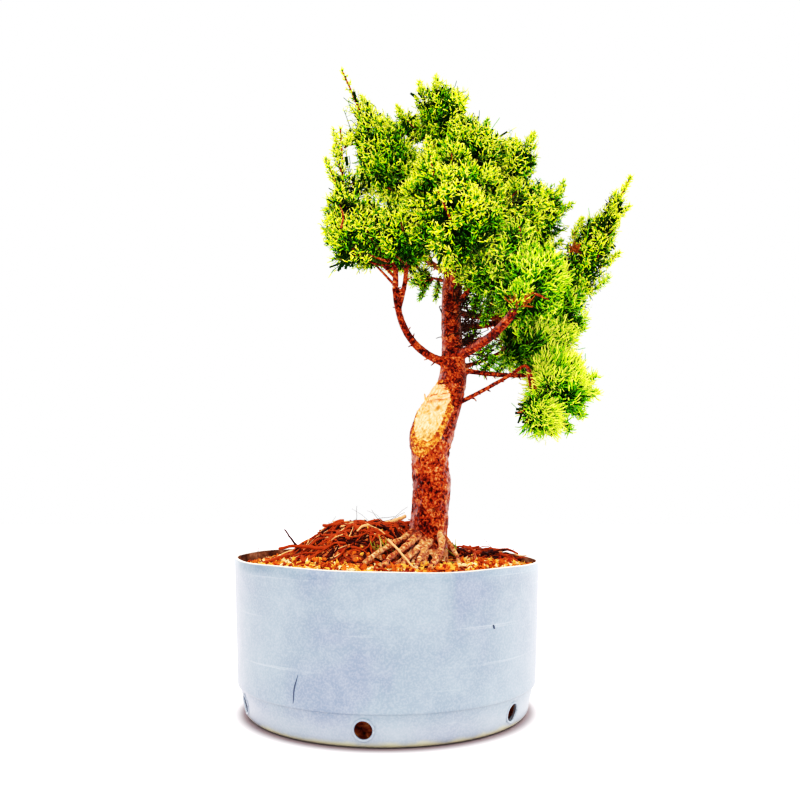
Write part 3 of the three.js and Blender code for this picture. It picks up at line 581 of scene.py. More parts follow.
class Look:
    """A material's nodes: values and colours that vary over the object, in its own frame."""

    def __init__(self, name, colour=(0.5, 0.5, 0.5), roughness=0.6, specular=0.3):
        self.material = bpy.data.materials.new(name)
        self.material.use_nodes = True
        self.tree = self.material.node_tree
        self.shader = self.tree.nodes["Principled BSDF"]
        self.shader.inputs["Base Color"].default_value = (*colour, 1)
        self.shader.inputs["Roughness"].default_value = roughness
        self.shader.inputs["Specular IOR Level"].default_value = specular
        self.places = None

    def add(self, kind, inputs=(), **settings):
        node = self.tree.nodes.new(kind)
        for key, value in settings.items():
            setattr(node, key, value)
        for key, value in dict(inputs).items():
            if isinstance(value, bpy.types.NodeSocket):
                self.tree.links.new(value, node.inputs[key])
            else:
                node.inputs[key].default_value = value
        return node

    def place(self, stretch=(1, 1, 1)):
        if self.places is None:
            self.places = self.add("ShaderNodeTexCoord").outputs["Object"]
        return self.add("ShaderNodeMapping", {"Vector": self.places, "Scale": stretch}).outputs["Vector"]

    def noise(self, scale, detail=4, stretch=(1, 1, 1), distortion=0.0):
        inputs = {"Vector": self.place(stretch), "Scale": scale, "Detail": detail, "Distortion": distortion}
        return self.add("ShaderNodeTexNoise", inputs).outputs["Fac"]

    def cracks(self, scale, stretch):
        inputs = {"Vector": self.place(stretch), "Scale": scale}
        return self.add("ShaderNodeTexVoronoi", inputs, feature="DISTANCE_TO_EDGE").outputs["Distance"]

    def between(self, value, low, high):
        inputs = {"Value": value, "From Min": low, "From Max": high}
        return self.add("ShaderNodeMapRange", inputs, interpolation_type="SMOOTHSTEP").outputs["Result"]

    def axis(self, name):
        return self.add("ShaderNodeSeparateXYZ", {"Vector": self.place()}).outputs[name]

    def facing(self, name, normal="Normal"):
        way = self.add("ShaderNodeNewGeometry").outputs[normal]
        return self.add("ShaderNodeSeparateXYZ", {"Vector": way}).outputs[name]

    def apart(self, point):
        ends = {0: self.place(), 1: np.array(point) * MM}
        return self.add("ShaderNodeVectorMath", ends, operation="DISTANCE").outputs["Value"]

    def math(self, operation, one, other=0.0):
        return self.add("ShaderNodeMath", {0: one, 1: other}, operation=operation).outputs["Value"]

    def sum(self, one, other):
        return self.math("ADD", one, other)

    def times(self, one, other):
        return self.math("MULTIPLY", one, other)

    def ramp(self, value, stops):
        node = self.add("ShaderNodeValToRGB", {"Fac": value})
        elements = node.color_ramp.elements
        while len(elements) < len(stops):
            elements.new(1.0)
        for element, (position, colour) in zip(elements, stops):
            element.position = position
            element.color = (*colour, 1)
        return node.outputs["Color"]

    def mix(self, share, one, other):
        one, other = (side if isinstance(side, bpy.types.NodeSocket) else (*side, 1) for side in (one, other))
        inputs = {MIX.share: share, MIX.one: one, MIX.other: other}
        return self.add("ShaderNodeMix", inputs, data_type="RGBA").outputs[MIX.result]

    def stained(self, tone, where, most, colour):
        return self.mix(self.times(where, most), tone, colour)

    def colour(self, socket):
        self.tree.links.new(socket, self.shader.inputs["Base Color"])

    def roughness(self, socket):
        self.tree.links.new(socket, self.shader.inputs["Roughness"])

    def bump(self, height, strength, distance):
        node = self.add("ShaderNodeBump", {"Height": height, "Strength": strength, "Distance": distance * MM})
        self.tree.links.new(node.outputs["Normal"], self.shader.inputs["Normal"])


# Tones from dark to light: where each lies in the grain, and its colour.
BARK_TONES = [
    (0.35, (0.025, 0.001, 0.001)), (0.44, (0.13, 0.006, 0.002)), (0.52, (0.40, 0.042, 0.005)),
    (0.60, (0.64, 0.15, 0.025)), (0.72, (0.85, 0.44, 0.22)),
]
ROOT_TONES = [
    (0.35, (0.12, 0.012, 0.004)), (0.43, (0.42, 0.08, 0.020)), (0.52, (0.70, 0.27, 0.09)),
    (0.64, (0.90, 0.58, 0.32)),
]
SAWN_TONES = [
    (0.30, (0.66, 0.24, 0.04)), (0.42, (0.84, 0.46, 0.16)), (0.55, (0.92, 0.60, 0.30)),
    (0.70, (1.0, 0.80, 0.52)),
]
STAINED_TONES = [(0.36, (0.22, 0.03, 0.005)), (0.5, (0.78, 0.30, 0.03)), (0.68, (0.95, 0.66, 0.3))]
CALLUS_TONES = [
    (0.34, (0.16, 0.018, 0.003)), (0.45, (0.46, 0.085, 0.007)), (0.55, (0.74, 0.26, 0.025)),
    (0.68, (0.90, 0.54, 0.2)),
]
PAIL_TONES = [(0.36, (0.145, 0.205, 0.31)), (0.5, (0.175, 0.255, 0.335)), (0.66, (0.23, 0.315, 0.385))]
PAIL_ROUGHNESS = [(0.3, (0.3, 0.3, 0.3)), (0.7, (0.5, 0.5, 0.5))]
MUD_TONES = [(0.35, (0.07, 0.02, 0.01)), (0.52, (0.20, 0.08, 0.035)), (0.7, (0.42, 0.24, 0.15))]
SOIL_TONES = [
    (0.34, (0.05, 0.006, 0.003)), (0.46, (0.24, 0.03, 0.008)), (0.58, (0.5, 0.12, 0.03)),
    (0.7, (0.75, 0.34, 0.1)),
]
EVEN = (1, 1, 1)

# Plain colours of the stains on the bark, the sawn wood and the pail, of the painted rim light on the
# bark's sides, and of small things.
STAIN = SimpleNamespace(
    sheen=(0.95, 0.78, 0.82), painted_rim_light=(0.70, 0.44, 0.42), mark=(0.03, 0.004, 0.002), knot=(0.55, 0.17, 0.01),
    sawn_mark=(0.62, 0.07, 0.008), blotch=(0.44, 0.50, 0.56), speckle=(0.48, 0.52, 0.58),
    scuff=(0.56, 0.62, 0.66), foot=(0.50, 0.54, 0.58), foot_edge=(0.62, 0.60, 0.36),
    cut_rim=(0.85, 0.76, 0.6),
)
SMALL = SimpleNamespace(
    scratch=(0.07, 0.09, 0.13), weed=(0.30, 0.34, 0.02), moss=(0.22, 0.27, 0.02),
    dead_twig=(0.045, 0.014, 0.008), green_stem=(0.07, 0.10, 0.008),
)


def bark_look(name, tones, fineness, stretch, painted_rim_light):
    """Flaking bark, darker in patches and at marks, with painted rim light that makes patches of its left and
    right sides paler.
    """
    look = Look(name, roughness=0.8, specular=0.06)
    look.shader.inputs["Sheen Weight"].default_value = 0.1
    look.shader.inputs["Sheen Roughness"].default_value = 0.3
    look.shader.inputs["Sheen Tint"].default_value = (*STAIN.sheen, 1)
    flakes = look.noise(fineness, detail=8, stretch=stretch, distortion=0.5)
    patches = look.noise(0.15 * fineness, detail=4, stretch=(1, 1, 1.8), distortion=0.5)
    value = look.sum(look.times(flakes, 0.75), look.times(patches, 0.5))
    tone = look.ramp(value, [(0.13 + at, colour) for at, colour in tones])
    # Painted rim light: patches of the sides that face left and right are paler.
    side = look.between(look.math("ABSOLUTE", look.facing("X")), 0.55, 0.95)
    bare = look.noise(0.4 * fineness, detail=5, stretch=stretch)
    pale = look.times(side, look.between(bare, 0.38, 0.6))
    tone = look.stained(tone, pale, painted_rim_light, STAIN.painted_rim_light)
    for middle, radius in MARKS:
        ragged = look.sum(look.apart(middle), look.times(look.noise(scale=200, detail=4), 0.01))
        mark = look.between(ragged, radius * MM, 0.5 * radius * MM)
        tone = look.stained(tone, mark, 0.8, STAIN.mark)
    look.colour(tone)
    cracks = look.between(look.cracks(0.7 * fineness, stretch), 0, 0.12)
    look.bump(look.sum(flakes, cracks), strength=0.8, distance=1.0)
    return look.material


def scar_look():
    """Sawn wood with a knot, red marks near its top and a brown stain below."""
    look = Look("sawn_wood", roughness=0.7, specular=0.2)
    grain = look.noise(scale=420, detail=8, stretch=(1, 1, 0.7), distortion=0.4)
    tone = look.ramp(grain, SAWN_TONES)
    tone = look.mix(look.between(look.apart(SCAR_KNOT), 0.0045, 0.001), tone, STAIN.knot)
    ragged = look.sum(look.axis("Z"), look.times(look.noise(scale=140, detail=4), 0.012))
    top = look.between(ragged, (SCAR_TOP - 8) * MM, SCAR_TOP * MM)
    marks = look.between(look.noise(scale=120, detail=3, stretch=(0.6, 0.6, 2.4)), 0.5, 0.58)
    tone = look.stained(tone, top, marks, STAIN.sawn_mark)
    low = look.between(ragged, (SCAR.on[2] + 22) * MM, (SCAR.on[2] + 4) * MM)
    look.colour(look.stained(tone, low, 0.8, look.ramp(grain, STAINED_TONES)))
    look.bump(grain, strength=0.3, distance=0.6)
    return look.material


def pail_look():
    """Weathered plastic: patches, blotches, speckles, scuffs along it, a stained foot and a cream cut rim."""
    look = Look("pail_plastic", roughness=0.38, specular=0.8)
    look.shader.inputs["Coat Weight"].default_value = 0.6
    look.shader.inputs["Coat Roughness"].default_value = 0.25
    patches = look.noise(scale=13, detail=3, distortion=0.4)
    blotches = look.between(look.noise(scale=60, detail=5, distortion=0.6), 0.45, 0.62)
    speckle = look.between(look.noise(scale=600, detail=2), 0.4, 0.65)
    streaks = look.noise(scale=6, detail=6, stretch=(1, 1, 45), distortion=0.3)
    scuffs = look.between(streaks, 0.62, 0.75)
    foot = look.sum(look.axis("Z"), look.times(look.noise(scale=45, detail=4), 0.012))
    high = look.between(look.axis("Z"), 0.66 * POT_HEIGHT * MM, 0.68 * POT_HEIGHT * MM)
    level = look.between(look.facing("Z", "True Normal"), 0.5, 0.8)
    stains = [
        (blotches, 0.12, STAIN.blotch),
        (speckle, 0.22, STAIN.speckle),
        (scuffs, 0.35, STAIN.scuff),
        (look.between(foot, 0.034, 0.02), 0.3, STAIN.foot),
        (look.between(foot, 0.013, 0.008), 0.8, STAIN.foot_edge),
        (level, high, STAIN.cut_rim),
    ]
    tone = look.ramp(patches, PAIL_TONES)
    for where, most, colour in stains:
        tone = look.stained(tone, where, most, colour)
    look.colour(tone)
    look.roughness(look.ramp(patches, PAIL_ROUGHNESS))
    dimples = look.noise(scale=55, detail=5)
    look.bump(look.sum(dimples, look.times(scuffs, 0.3)), strength=0.4, distance=0.8)
    return look.material


def grained_look(name, tones, relief, roughness, specular, **grain):
    """Tones that follow a grain, with the grain's relief, given by its strength and depth."""
    look = Look(name, roughness=roughness, specular=specular)
    value = look.noise(**grain)
    look.colour(look.ramp(value, tones))
    look.bump(value, *relief)
    return look.material


def plain_look(name, colour, roughness=0.6, grain=0.0, specular=0.3):
    """One plain colour with a fine relief."""
    look = Look(name, colour, roughness, specular)
    if grain:
        look.bump(look.noise(grain, detail=3), strength=0.5, distance=0.4)
    return look.material


# Limbs: lines of x, y, z and radius.
def bough_line(name, lines):
    on, height, tip, bow, radius = BOUGHS[name]
    start = at_height(lines[on], height)[:3]
    tip = np.array(tip, float)
    line = bent_line(start, (start + tip) / 2 + 2 * np.array(bow, float), tip, BOUGH_POINTS)
    return np.c_[line, lerp(radius[0], radius[1], np.sqrt(np.linspace(0, 1, len(line))))]


LIMBS = {"trunk": smooth_line(TRUNK, 8)}
for bough in BOUGHS:
    LIMBS[bough] = bough_line(bough, LIMBS)


def root_lines():
    """Strands of every surface root, side by side within its thickness."""
    foot = at_height(LIMBS["trunk"], ROOT.start_height)[:3]
    strands = []
    for x, y, radius in ROOTS:
        end = np.array([x, y, SOIL.level - ROOT.sink], float)
        start = lerp(foot, end, ROOT.start_share)
        start[2] = ROOT.start_height
        middle = (start + end) / 2 + ROOT.arch * UP
        line = bent_line(foot, middle, end, ROOT.points)
        taper = lerp(1, ROOT.tip_share, np.linspace(0, 1, len(line)))
        across = unit(np.cross(UP, end - foot))
        turn = np.linspace(0, ROOT.weave_turn, len(line))
        for side, share in ROOT_STRANDS:
            weave = side + ROOT.weave * np.sin(turn + x + ROOT.weave_apart * side)
            offset = across * (radius * taper * weave)[:, None]
            strands.append(np.c_[line + offset, share * radius * taper])
    return strands


# Bark: limbs joined under one skin, with the slanted saw cut, and then given the bark's relief.
def cut_block():
    """The block that the saw cut takes off: places and triangles."""
    facing = unit(np.array(SCAR.facing, float))
    across = unit(np.cross(UP, facing))
    along = np.cross(facing, across)
    middle = np.array(SCAR.on) + along * SCAR.height / 2 + facing * SCAR.depth / 2
    middle = middle + across * (SCAR.edge - SCAR.width / 2)
    corners = np.array(list(np.ndindex(2, 2, 2))) - 0.5
    places = middle + corners * (SCAR.width, SCAR.height, SCAR.depth) @ np.array([across, along, facing])
    faces = [(0, 1, 3), (0, 3, 2), (4, 6, 7), (4, 7, 5), (0, 4, 5), (0, 5, 1)]
    faces += [(2, 3, 7), (2, 7, 6), (0, 2, 6), (0, 6, 4), (1, 5, 7), (1, 7, 3)]
    return places, np.array(faces)


def skin_round(chunks, voxel):
    """One skin round overlapping closed chunks, less the saw cut: places and triangles."""
    body = add_object("limbs", mesh_of("limbs", *joined(chunks)))
    block = add_object("block", mesh_of("block", *cut_block()))
    add_remesh(body, voxel)
    add_cut(body, block)
    add_remesh(body, voxel)
    mesh = modified_mesh(body)
    mesh.calc_loop_triangles()
    places = np.empty(len(mesh.vertices) * 3, np.float32)
    mesh.vertices.foreach_get("co", places)
    faces = np.empty(len(mesh.loop_triangles) * 3, np.int32)
    mesh.loop_triangles.foreach_get("vertices", faces)
    for made in (body, block):
        bpy.data.objects.remove(made)
    return places.reshape(-1, 3).astype(float) / MM, faces.reshape(-1, 3)


def smoothed(places, faces, rounds):
    """Places drawn halfway to the mean of their neighbours, some times."""
    edges = np.vstack([faces[:, [0, 1]], faces[:, [1, 2]], faces[:, [2, 0]]])
    counts = np.bincount(edges[:, 0], minlength=len(places))[:, None]
    for _ in range(rounds):
        sums = [np.bincount(edges[:, 0], places[edges[:, 1], k], len(places)) for k in range(3)]
        places = lerp(places, np.stack(sums, axis=1) / np.maximum(counts, 1), 0.5)
    return places


def normals_of(places, faces):
    a, b, c = (places[faces[:, k]] for k in range(3))
    ways = np.cross(b - a, c - a)
    return unit(np.stack([
        sum(np.bincount(faces[:, corner], ways[:, k], len(places)) for corner in range(3)) for k in range(3)
    ], axis=1))


def nearest_limb(places, lines):
    """The way along the nearest limb, its radius and which one it is, at each place."""
    beads = np.vstack(lines)
    ways = np.vstack([unit(np.gradient(line[:, :3], axis=0)) for line in lines])
    tree = KDTree(len(beads))
    for i, bead in enumerate(beads):
        tree.insert(bead[:3], i)
    tree.balance()
    nearest = np.array([tree.find(place)[1] for place in places])
    limb_of = np.repeat(np.arange(len(lines)), [len(line) for line in lines])
    return ways[nearest], beads[nearest, 3], limb_of[nearest]


def make_bark(materials):
    """The skin of the limbs as pieces of bark, scar and callus, the strands of the roots and a splinter."""
    lines = [*LIMBS.values(), smooth_line(STUB, 8), *root_lines()]
    chunks = []
    for line in lines:
        flare = 0
        if len(line) == BOUGH_POINTS:
            flare = BARK.flare * np.exp(-np.arange(len(line)) / BARK.flare_points)
        chunks.append(tubes(line[None, :, :3], (line[:, 3] * (1 + flare))[None], BARK.sides))
    places, faces = skin_round(chunks, BARK.voxel)
    places = smoothed(places, faces, BARK.smoothing)
    normals = normals_of(places, faces)
    from_scar = scar_share(places, normals)
    ways, radii, limb_of = nearest_limb(places, lines)
    lengthwise = np.sum(places * ways, axis=1, keepdims=True) * ways
    flat = places - BARK.flake_stretch * lengthwise
    fine = RELIEF.fine * np.abs(lattice_noise(flat / RELIEF.fine_length, NOISE.fine_flakes))
    flakes = np.abs(lattice_noise(flat / RELIEF.flake_length, NOISE.flakes)) + fine
    lumps = RELIEF.lump * lattice_noise(places / RELIEF.lump_length, NOISE.lumps)
    rings = RELIEF.ring * np.abs(lattice_noise(places / RELIEF.ring_length, NOISE.rings))
    relief = flakes - RELIEF.middle + lumps + rings
    depth = np.where(from_scar < 1, BARK.least, np.clip(BARK.share * radii, BARK.least, BARK.most))
    lip = SCAR_LEAF.lip * np.exp(-((from_scar - SCAR_LEAF.lip_at) / SCAR_LEAF.lip_width)**2)
    places = places + normals * (relief * depth + lip)[:, None]
    on_bough = (limb_of > 0) & (limb_of < len(LIMBS))
    on_root = (limb_of > len(LIMBS)) & (places[:, 2] < ROOT.start_height - ROOT.bark_below)
    kinds = [from_scar < 1, from_scar < SCAR_LEAF.callus, on_bough, on_root]
    kind = np.select(kinds, range(4), 4)[faces].max(axis=1)
    boughs = [f"bough_{name}" for name in BOUGHS]
    stands_for = {"bough_bark": boughs, "bark": ["trunk", *boughs]}
    for number, name in enumerate(("scar_wood", "scar_callus", "bough_bark", "root_bark", "bark")):
        mesh = mesh_of(name, places, faces[kind == number])
        piece(name, mesh, materials[name], stands_for.get(name, ()))
    strands = []
    for radius, *points in STRANDS:
        line = smooth_line(points, 8)
        knobs = 1 + STRAND.knobs * lattice_noise(line / STRAND.knob_length, NOISE.knobs)
        radii = radius * knobs * np.linspace(*STRAND.taper, len(line))
        strands.append(tubes(line[None], radii[None], 9, tip=1))
    pieces("root_strands", strands, materials["root_bark"], ["trunk"])
    splinter = tubes(np.array([SPLINTER], float), np.array([SPLINTER_RADII]), 6, tip=1)
    piece("scar_splinter", mesh_of("scar_splinter", *splinter), materials["scar_wood"])


def scar_share(places, normals):
    """How far places are from the middle of the saw cut's leaf-shaped face, whose edge is at 1; the callus
    that grows over it, mostly from below and from the right, ends at its own share, and all others are
    far."""
    facing = unit(np.array(SCAR.facing, float))
    across = unit(np.cross(UP, facing))
    offset = places - SCAR.on
    flat = np.stack([offset @ across, offset @ np.cross(facing, across)], axis=1)
    wander = np.stack([lattice_noise(places / SCAR_LEAF.ragged_length, seed) for seed in NOISE.scar], axis=1)
    ragged = flat + SCAR_LEAF.ragged * wander
    leaf = (ragged - SCAR_LEAF.middle) / SCAR_LEAF.half
    share = np.sum(np.abs(leaf)**SCAR_LEAF.power, axis=1)
    apart = np.abs(offset @ facing)
    share = np.where(apart < SCAR_LEAF.even, share, np.maximum(share, SCAR_LEAF.off_face))
    grown = smoothstep(0, SCAR_LEAF.callus_full, SCAR_LEAF.callus_turn * leaf[:, 0] - leaf[:, 1])
    grown = lerp(SCAR_LEAF.callus_least, 1, grown)
    share = np.where(share > 1, 1 + (share - 1) / grown, share)
    on_scar = (apart < SCAR_LEAF.deepest) & (normals @ facing > SCAR_LEAF.turned)
    return np.where(on_scar, share, SCAR_LEAF.far)


# Foliage: spaces of the masses and the leaders through them.
def leader_line(name, space):
    """The line of a mass's leader, from its bough or the trunk through its middle."""
    reach = LEADER.share * space.long
    if space.spire:
        reach = space.long + space.spire - LEADER.short_of_tip
    end = space.centre + space.aim * reach
    if name in BOUGHS:
        start = LIMBS[name][-1, :3]
        way = unit(start - LIMBS[name][-2, :3])
        root_radius = BOUGHS[name][4][1]
    else:
        start = at_height(LIMBS["trunk"], space.on_trunk)[:3]
        way = unit(space.centre - start)
        root_radius = LEADER.radius[0]
    bend = start + way * LEADER.bend * np.linalg.norm(space.centre - start)
    line = at_share(smooth_line([start, bend, space.centre, end], 10), np.linspace(0, 1, LEADER.points))
    return np.c_[line, lerp(root_radius, LEADER.radius[1], np.sqrt(np.linspace(0, 1, len(line))))]


SPACES = []
for name, (centre, aim, long, wide, spire, on_trunk) in MASSES.items():
    space = SimpleNamespace(name=name, long=long, wide=wide, spire=spire, on_trunk=on_trunk)
    space.centre = np.array(centre, float)
    space.aim = unit(np.array(aim, float))
    space.skin = 4 * math.pi * (wide * wide + 2 * wide * long) / 3
    space.leader = leader_line(name, space)
    SPACES.append(space)


def outside(space, points):
    """How far points are outside a mass's ellipsoid or spire, roughly in millimetres, and below zero
    inside."""
    offset = points - space.centre
    along = offset @ space.aim
    across = np.sqrt(np.maximum(0, np.sum(offset * offset, axis=-1) - along * along))
    body = (np.hypot(along / space.long, across / space.wide) - 1) * space.wide
    if not space.spire:
        return body
    spire = np.where(along < 0, np.inf, across - spire_width(space, along))
    return np.minimum(body, spire)


def spire_width(space, along):
    """Half the width of a spire, which narrows from the mass's middle to a point."""
    return space.wide * np.clip(1 - along / (space.long + space.spire), 0, 1)**SPIRE_TAPER


def hollows(points):
    """How far the crown's skin draws in at points: hollows above zero, lumps below."""
    creases = CROWN.rough * (0.5 - 2 * np.abs(lattice_noise(points / CROWN.rough_length, NOISE.crown[0])))
    return creases + CROWN.fine * lattice_noise(points / CROWN.fine_length, NOISE.crown[1])


def out_of_crown(points):
    """How far points are outside the skin of the crown, whose masses run into each other, and outside each
    mass."""
    depths = np.stack([outside(space, points) for space in SPACES])
    blended = -CROWN.blend * np.log(np.exp(-np.clip(depths / CROWN.blend, -30, 30)).sum(axis=0))
    return blended + CROWN.inset + hollows(points), depths


def facing_of(points):
    """The way the crown's skin faces at points."""
    steps = 2.5 * np.eye(3)
    ways = [out_of_crown(points + step)[0] - out_of_crown(points - step)[0] for step in steps]
    return unit(np.stack(ways, axis=1))


def reach_along(space, ways):
    """How far ways from a mass's middle stay in the crown, nearer to this mass than to any other."""
    steps = np.arange(MARCH, space.long + space.spire + 2 * CROWN.blend, MARCH)
    points = space.centre + steps[:, None, None] * ways
    skin, depths = out_of_crown(points.reshape(-1, 3))
    stays = (skin <= 0) & (depths[SPACES.index(space)] <= depths.min(axis=0))
    return MARCH * np.cumprod(stays.reshape(len(steps), -1), axis=0).sum(axis=0)


def ways_round(space, count, random):
    """Ways out of a mass's middle, spread evenly over its skin."""
    height = 1 - 2 * (np.arange(count) + 0.5) / count
    turn = np.arange(count) * GOLDEN_ANGLE + random.random() * 2 * math.pi
    ball = np.c_[np.sqrt(1 - height**2) * np.cos(turn), np.sqrt(1 - height**2) * np.sin(turn), height]
    ball = unit(ball + random.normal(0, 0.35 / math.sqrt(count), ball.shape))
    along = (ball @ space.aim)[:, None] * space.aim
    return unit(along * space.long + (ball - along) * space.wide)


LIMB_BEADS = np.vstack([*LIMBS.values(), smooth_line(STUB, 8)])


def clear_of_limbs(points, margin):
    """Whether points keep clear of the trunk and the boughs."""
    clear = np.ones(len(points), bool)
    for start in range(0, len(points), 5000):
        part = points[start:start + 5000]
        apart = np.linalg.norm(part[:, None] - LIMB_BEADS[None, :, :3], axis=2)
        clear[start:start + 5000] = (apart > LIMB_BEADS[:, 3] + margin).all(axis=1)
    return clear


def fork_points(line, ends):
    """Where on a line a branch to each end forks off, leaning on by the usual angle."""
    ways = unit(np.gradient(line, axis=0))
    forward = np.sum(unit(ends[:, None] - line) * ways, axis=2)
    return line[np.argmin(np.abs(forward - math.cos(math.radians(FORK_DEGREES))), axis=1)]


def grow_twigs(space, random):
    """Twigs from the leader towards the skin: their ways out of the middle, and their lines."""
    count = max(GROWTH.fewest_twigs, round(space.skin / GROWTH.twig_skin))
    ways = ways_round(space, count, random)
    reach = reach_along(space, ways)
    kept = reach > GROWTH.shortest_twig
    ways, reach = ways[kept], reach[kept]
    ends = space.centre + ways * (reach * GROWTH.twig_share)[:, None]
    roots = fork_points(space.leader[:, :3], ends)
    t = np.linspace(0, 1, GROWTH.twig_points)[None, :, None]
    bow = random.normal(0, GROWTH.bow, (len(ways), 1, 3)) - UP * GROWTH.sag
    lines = lerp(roots[:, None], ends[:, None], t) + bow * 4 * t * (1 - t)
    return SimpleNamespace(ways=ways, lines=lines)


def grow_sprays(ends, ways, twigs):
    """Where the stem of each spray leaves its twig, the nearest one, and which twig that is."""
    twig_of = np.argmax(ways @ twigs.ways.T, axis=1)
    lines = twigs.lines[twig_of]
    gaps = np.abs(np.linalg.norm(lines - ends[:, None], axis=2) - GROWTH.spray_length)
    return lines[np.arange(len(lines)), np.argmin(gaps, axis=1)], twig_of


def grow_shoots(roots, ends, length, wild, count, random):
    """Shoots round the outer part of every stem: curled lines of four points, (sprays, shoots, 4, 3)."""
    stems = len(roots)
    t = lerp(SHOOT.first, 1, (np.arange(count) + 0.5) / count)[None, :, None]
    way = unit(ends - roots)[:, None]
    helper = np.where(np.abs(way[..., 2:]) < 0.9, UP, RIGHT)
    side = unit(np.cross(way, helper))
    across = np.cross(way, side)
    turn = np.arange(count) * GOLDEN_ANGLE + random.random((stems, 1)) * 2 * math.pi
    round_stem = side * np.cos(turn)[..., None] + across * np.sin(turn)[..., None]
    lean = SHOOT.least_lean + SHOOT.wild_lean * wild
    lean = lean + SHOOT.lean_chance * random.random((stems, count, 1))
    lean = lerp(*SHOOT.lean, t) * lean
    start = lerp(roots[:, None], ends[:, None], t)
    out = way * np.cos(lean) + round_stem * np.sin(lean)
    long = length * (SHOOT.least_length + SHOOT.length_chance * random.random((stems, count, 1)))
    curl = wild * SHOOT.curl * random.normal(0, SHOOT.sway, out.shape)
    curl = curl + SHOOT.lift * UP + SHOOT.onward * way
    points = [start]
    for share in SHOOT.parts:
        points.append(points[-1] + out * long * share)
        out = unit(out + curl)
    return np.stack(points, axis=2)


def in_gap(points):
    return (np.linalg.norm(points[:, None] - GAPS[:, :3], axis=2) < GAPS[:, 3]).any(axis=1)


def deal_light(ends, twig_of, random):
    """The light each spray gets: more up on the lumps than down in the creases, with chance by twig and by
    spray."""
    facing = facing_of(ends)
    light = LIGHT.up * facing[:, 2] - LIGHT.front * facing[:, 1] - LIGHT.crease * hollows(ends) / CROWN.rough
    by_twig = random.normal(0, LIGHT.twig_chance, twig_of.max() + 1)[twig_of]
    return light + by_twig + random.normal(0, LIGHT.spray_chance, len(ends))


def add_stubs(kinds, random):
    """Stubs of old twigs, round every bough and the upper trunk."""
    lines = []
    for name, limb in LIMBS.items():
        first = STUBS.first_on_trunk if name == "trunk" else STUBS.first
        length = np.linalg.norm(np.diff(limb[:, :3], axis=0), axis=1).sum()
        count = round(length * (STUBS.last - first) / STUBS.spacing)
        share = np.linspace(first, STUBS.last, count) + random.normal(0, 0.01, count)
        places = at_share(limb, share)
        ways = unit(at_share(limb, share + 0.02)[:, :3] - places[:, :3])
        round_limb = unit(np.cross(ways, random.normal(0, 1, ways.shape)))
        out = ways * math.cos(STUBS.lean) + round_limb * math.sin(STUBS.lean)
        long = lerp(*STUBS.length, random.random((count, 1))**2)
        start = places[:, :3] + round_limb * 0.6 * places[:, 3:]
        end = start + out * (long + 0.5 * places[:, 3:])
        middle = (start + end) / 2 + random.normal(0, STUBS.kink, start.shape)
        lines.append(np.stack([start, middle, end], axis=1))
    lines = np.vstack(lines)
    radii = np.tile(np.linspace(*STUBS.radius, 3), (len(lines), 1))
    kinds["twigs"].append(tubes(lines, radii, 5, tip=0.4))


def add_bare_twigs(kinds, random):
    """Thin dead twigs on the shaded side of the trunk, each with a fork."""
    count = BARE_TWIGS.count
    heights = lerp(*BARE_TWIGS.heights, random.random(count))
    roots = np.array([at_height(LIMBS["trunk"], height)[:3] for height in heights])
    turn = np.radians(lerp(*BARE_TWIGS.turn, random.random((count, 1))))
    rise = BARE_TWIGS.least_rise + BARE_TWIGS.rise_chance * random.random((count, 1))
    way = unit(np.concatenate([np.cos(turn), np.sin(turn), rise], axis=1))
    ends = roots + way * lerp(*BARE_TWIGS.length, random.random((count, 1)))
    forks = lerp(roots, ends, BARE_TWIGS.fork)
    side_ways = unit(way + random.normal(0, BARE_TWIGS.fork_turn, way.shape))
    side_ends = forks + side_ways * BARE_TWIGS.fork_length * BARE_TWIGS.length[1]
    points = BARE_TWIGS.points
    t = np.linspace(0, 1, points)[None, :, None]
    radii = np.tile(np.linspace(*BARE_TWIGS.radius, points), (count, 1))
    for start, end in ((roots, ends), (forks, side_ends)):
        bow = random.normal(0, BARE_TWIGS.bow, (count, 1, 3))
        kinks = random.normal(0, BARE_TWIGS.kink, (count, points, 3)) * t
        lines = lerp(start[:, None], end[:, None], t) + bow * 4 * t * (1 - t) + kinks
        kinds["dead_twigs"].append(tubes(lines, radii, 5, tip=1))


def add_whips(space, kinds, random):
    """Single thin shoots that stand out of a mass's skin."""
    ways = ways_round(space, round(space.skin / WHIPS.skin), random)
    reach = reach_along(space, ways)
    kept = reach > GROWTH.border * reach_of_body(space, ways)
    kept &= ~in_gap(space.centre + ways * reach[:, None])
    ways, reach = ways[kept], reach[kept, None]
    start = space.centre + ways * (reach - WHIPS.depth)
    out = unit(ways + random.normal(0, WHIPS.turn, ways.shape) + WHIPS.lift * UP)
    long = lerp(*WHIPS.length, random.random((len(ways), 1)))
    middle = start + out * long * 0.6
    end = middle + unit(out + random.normal(0, WHIPS.kink, out.shape)) * long * 0.5
    lines = np.stack([start, middle, end], axis=1)
    for kind, chosen in (("shade", lines[::2]), ("leaf", lines[1::2])):
        kinds[kind].append(tubes(chosen, np.full(chosen.shape[:2], WHIPS.radius), 3, tip=1, closed=False))


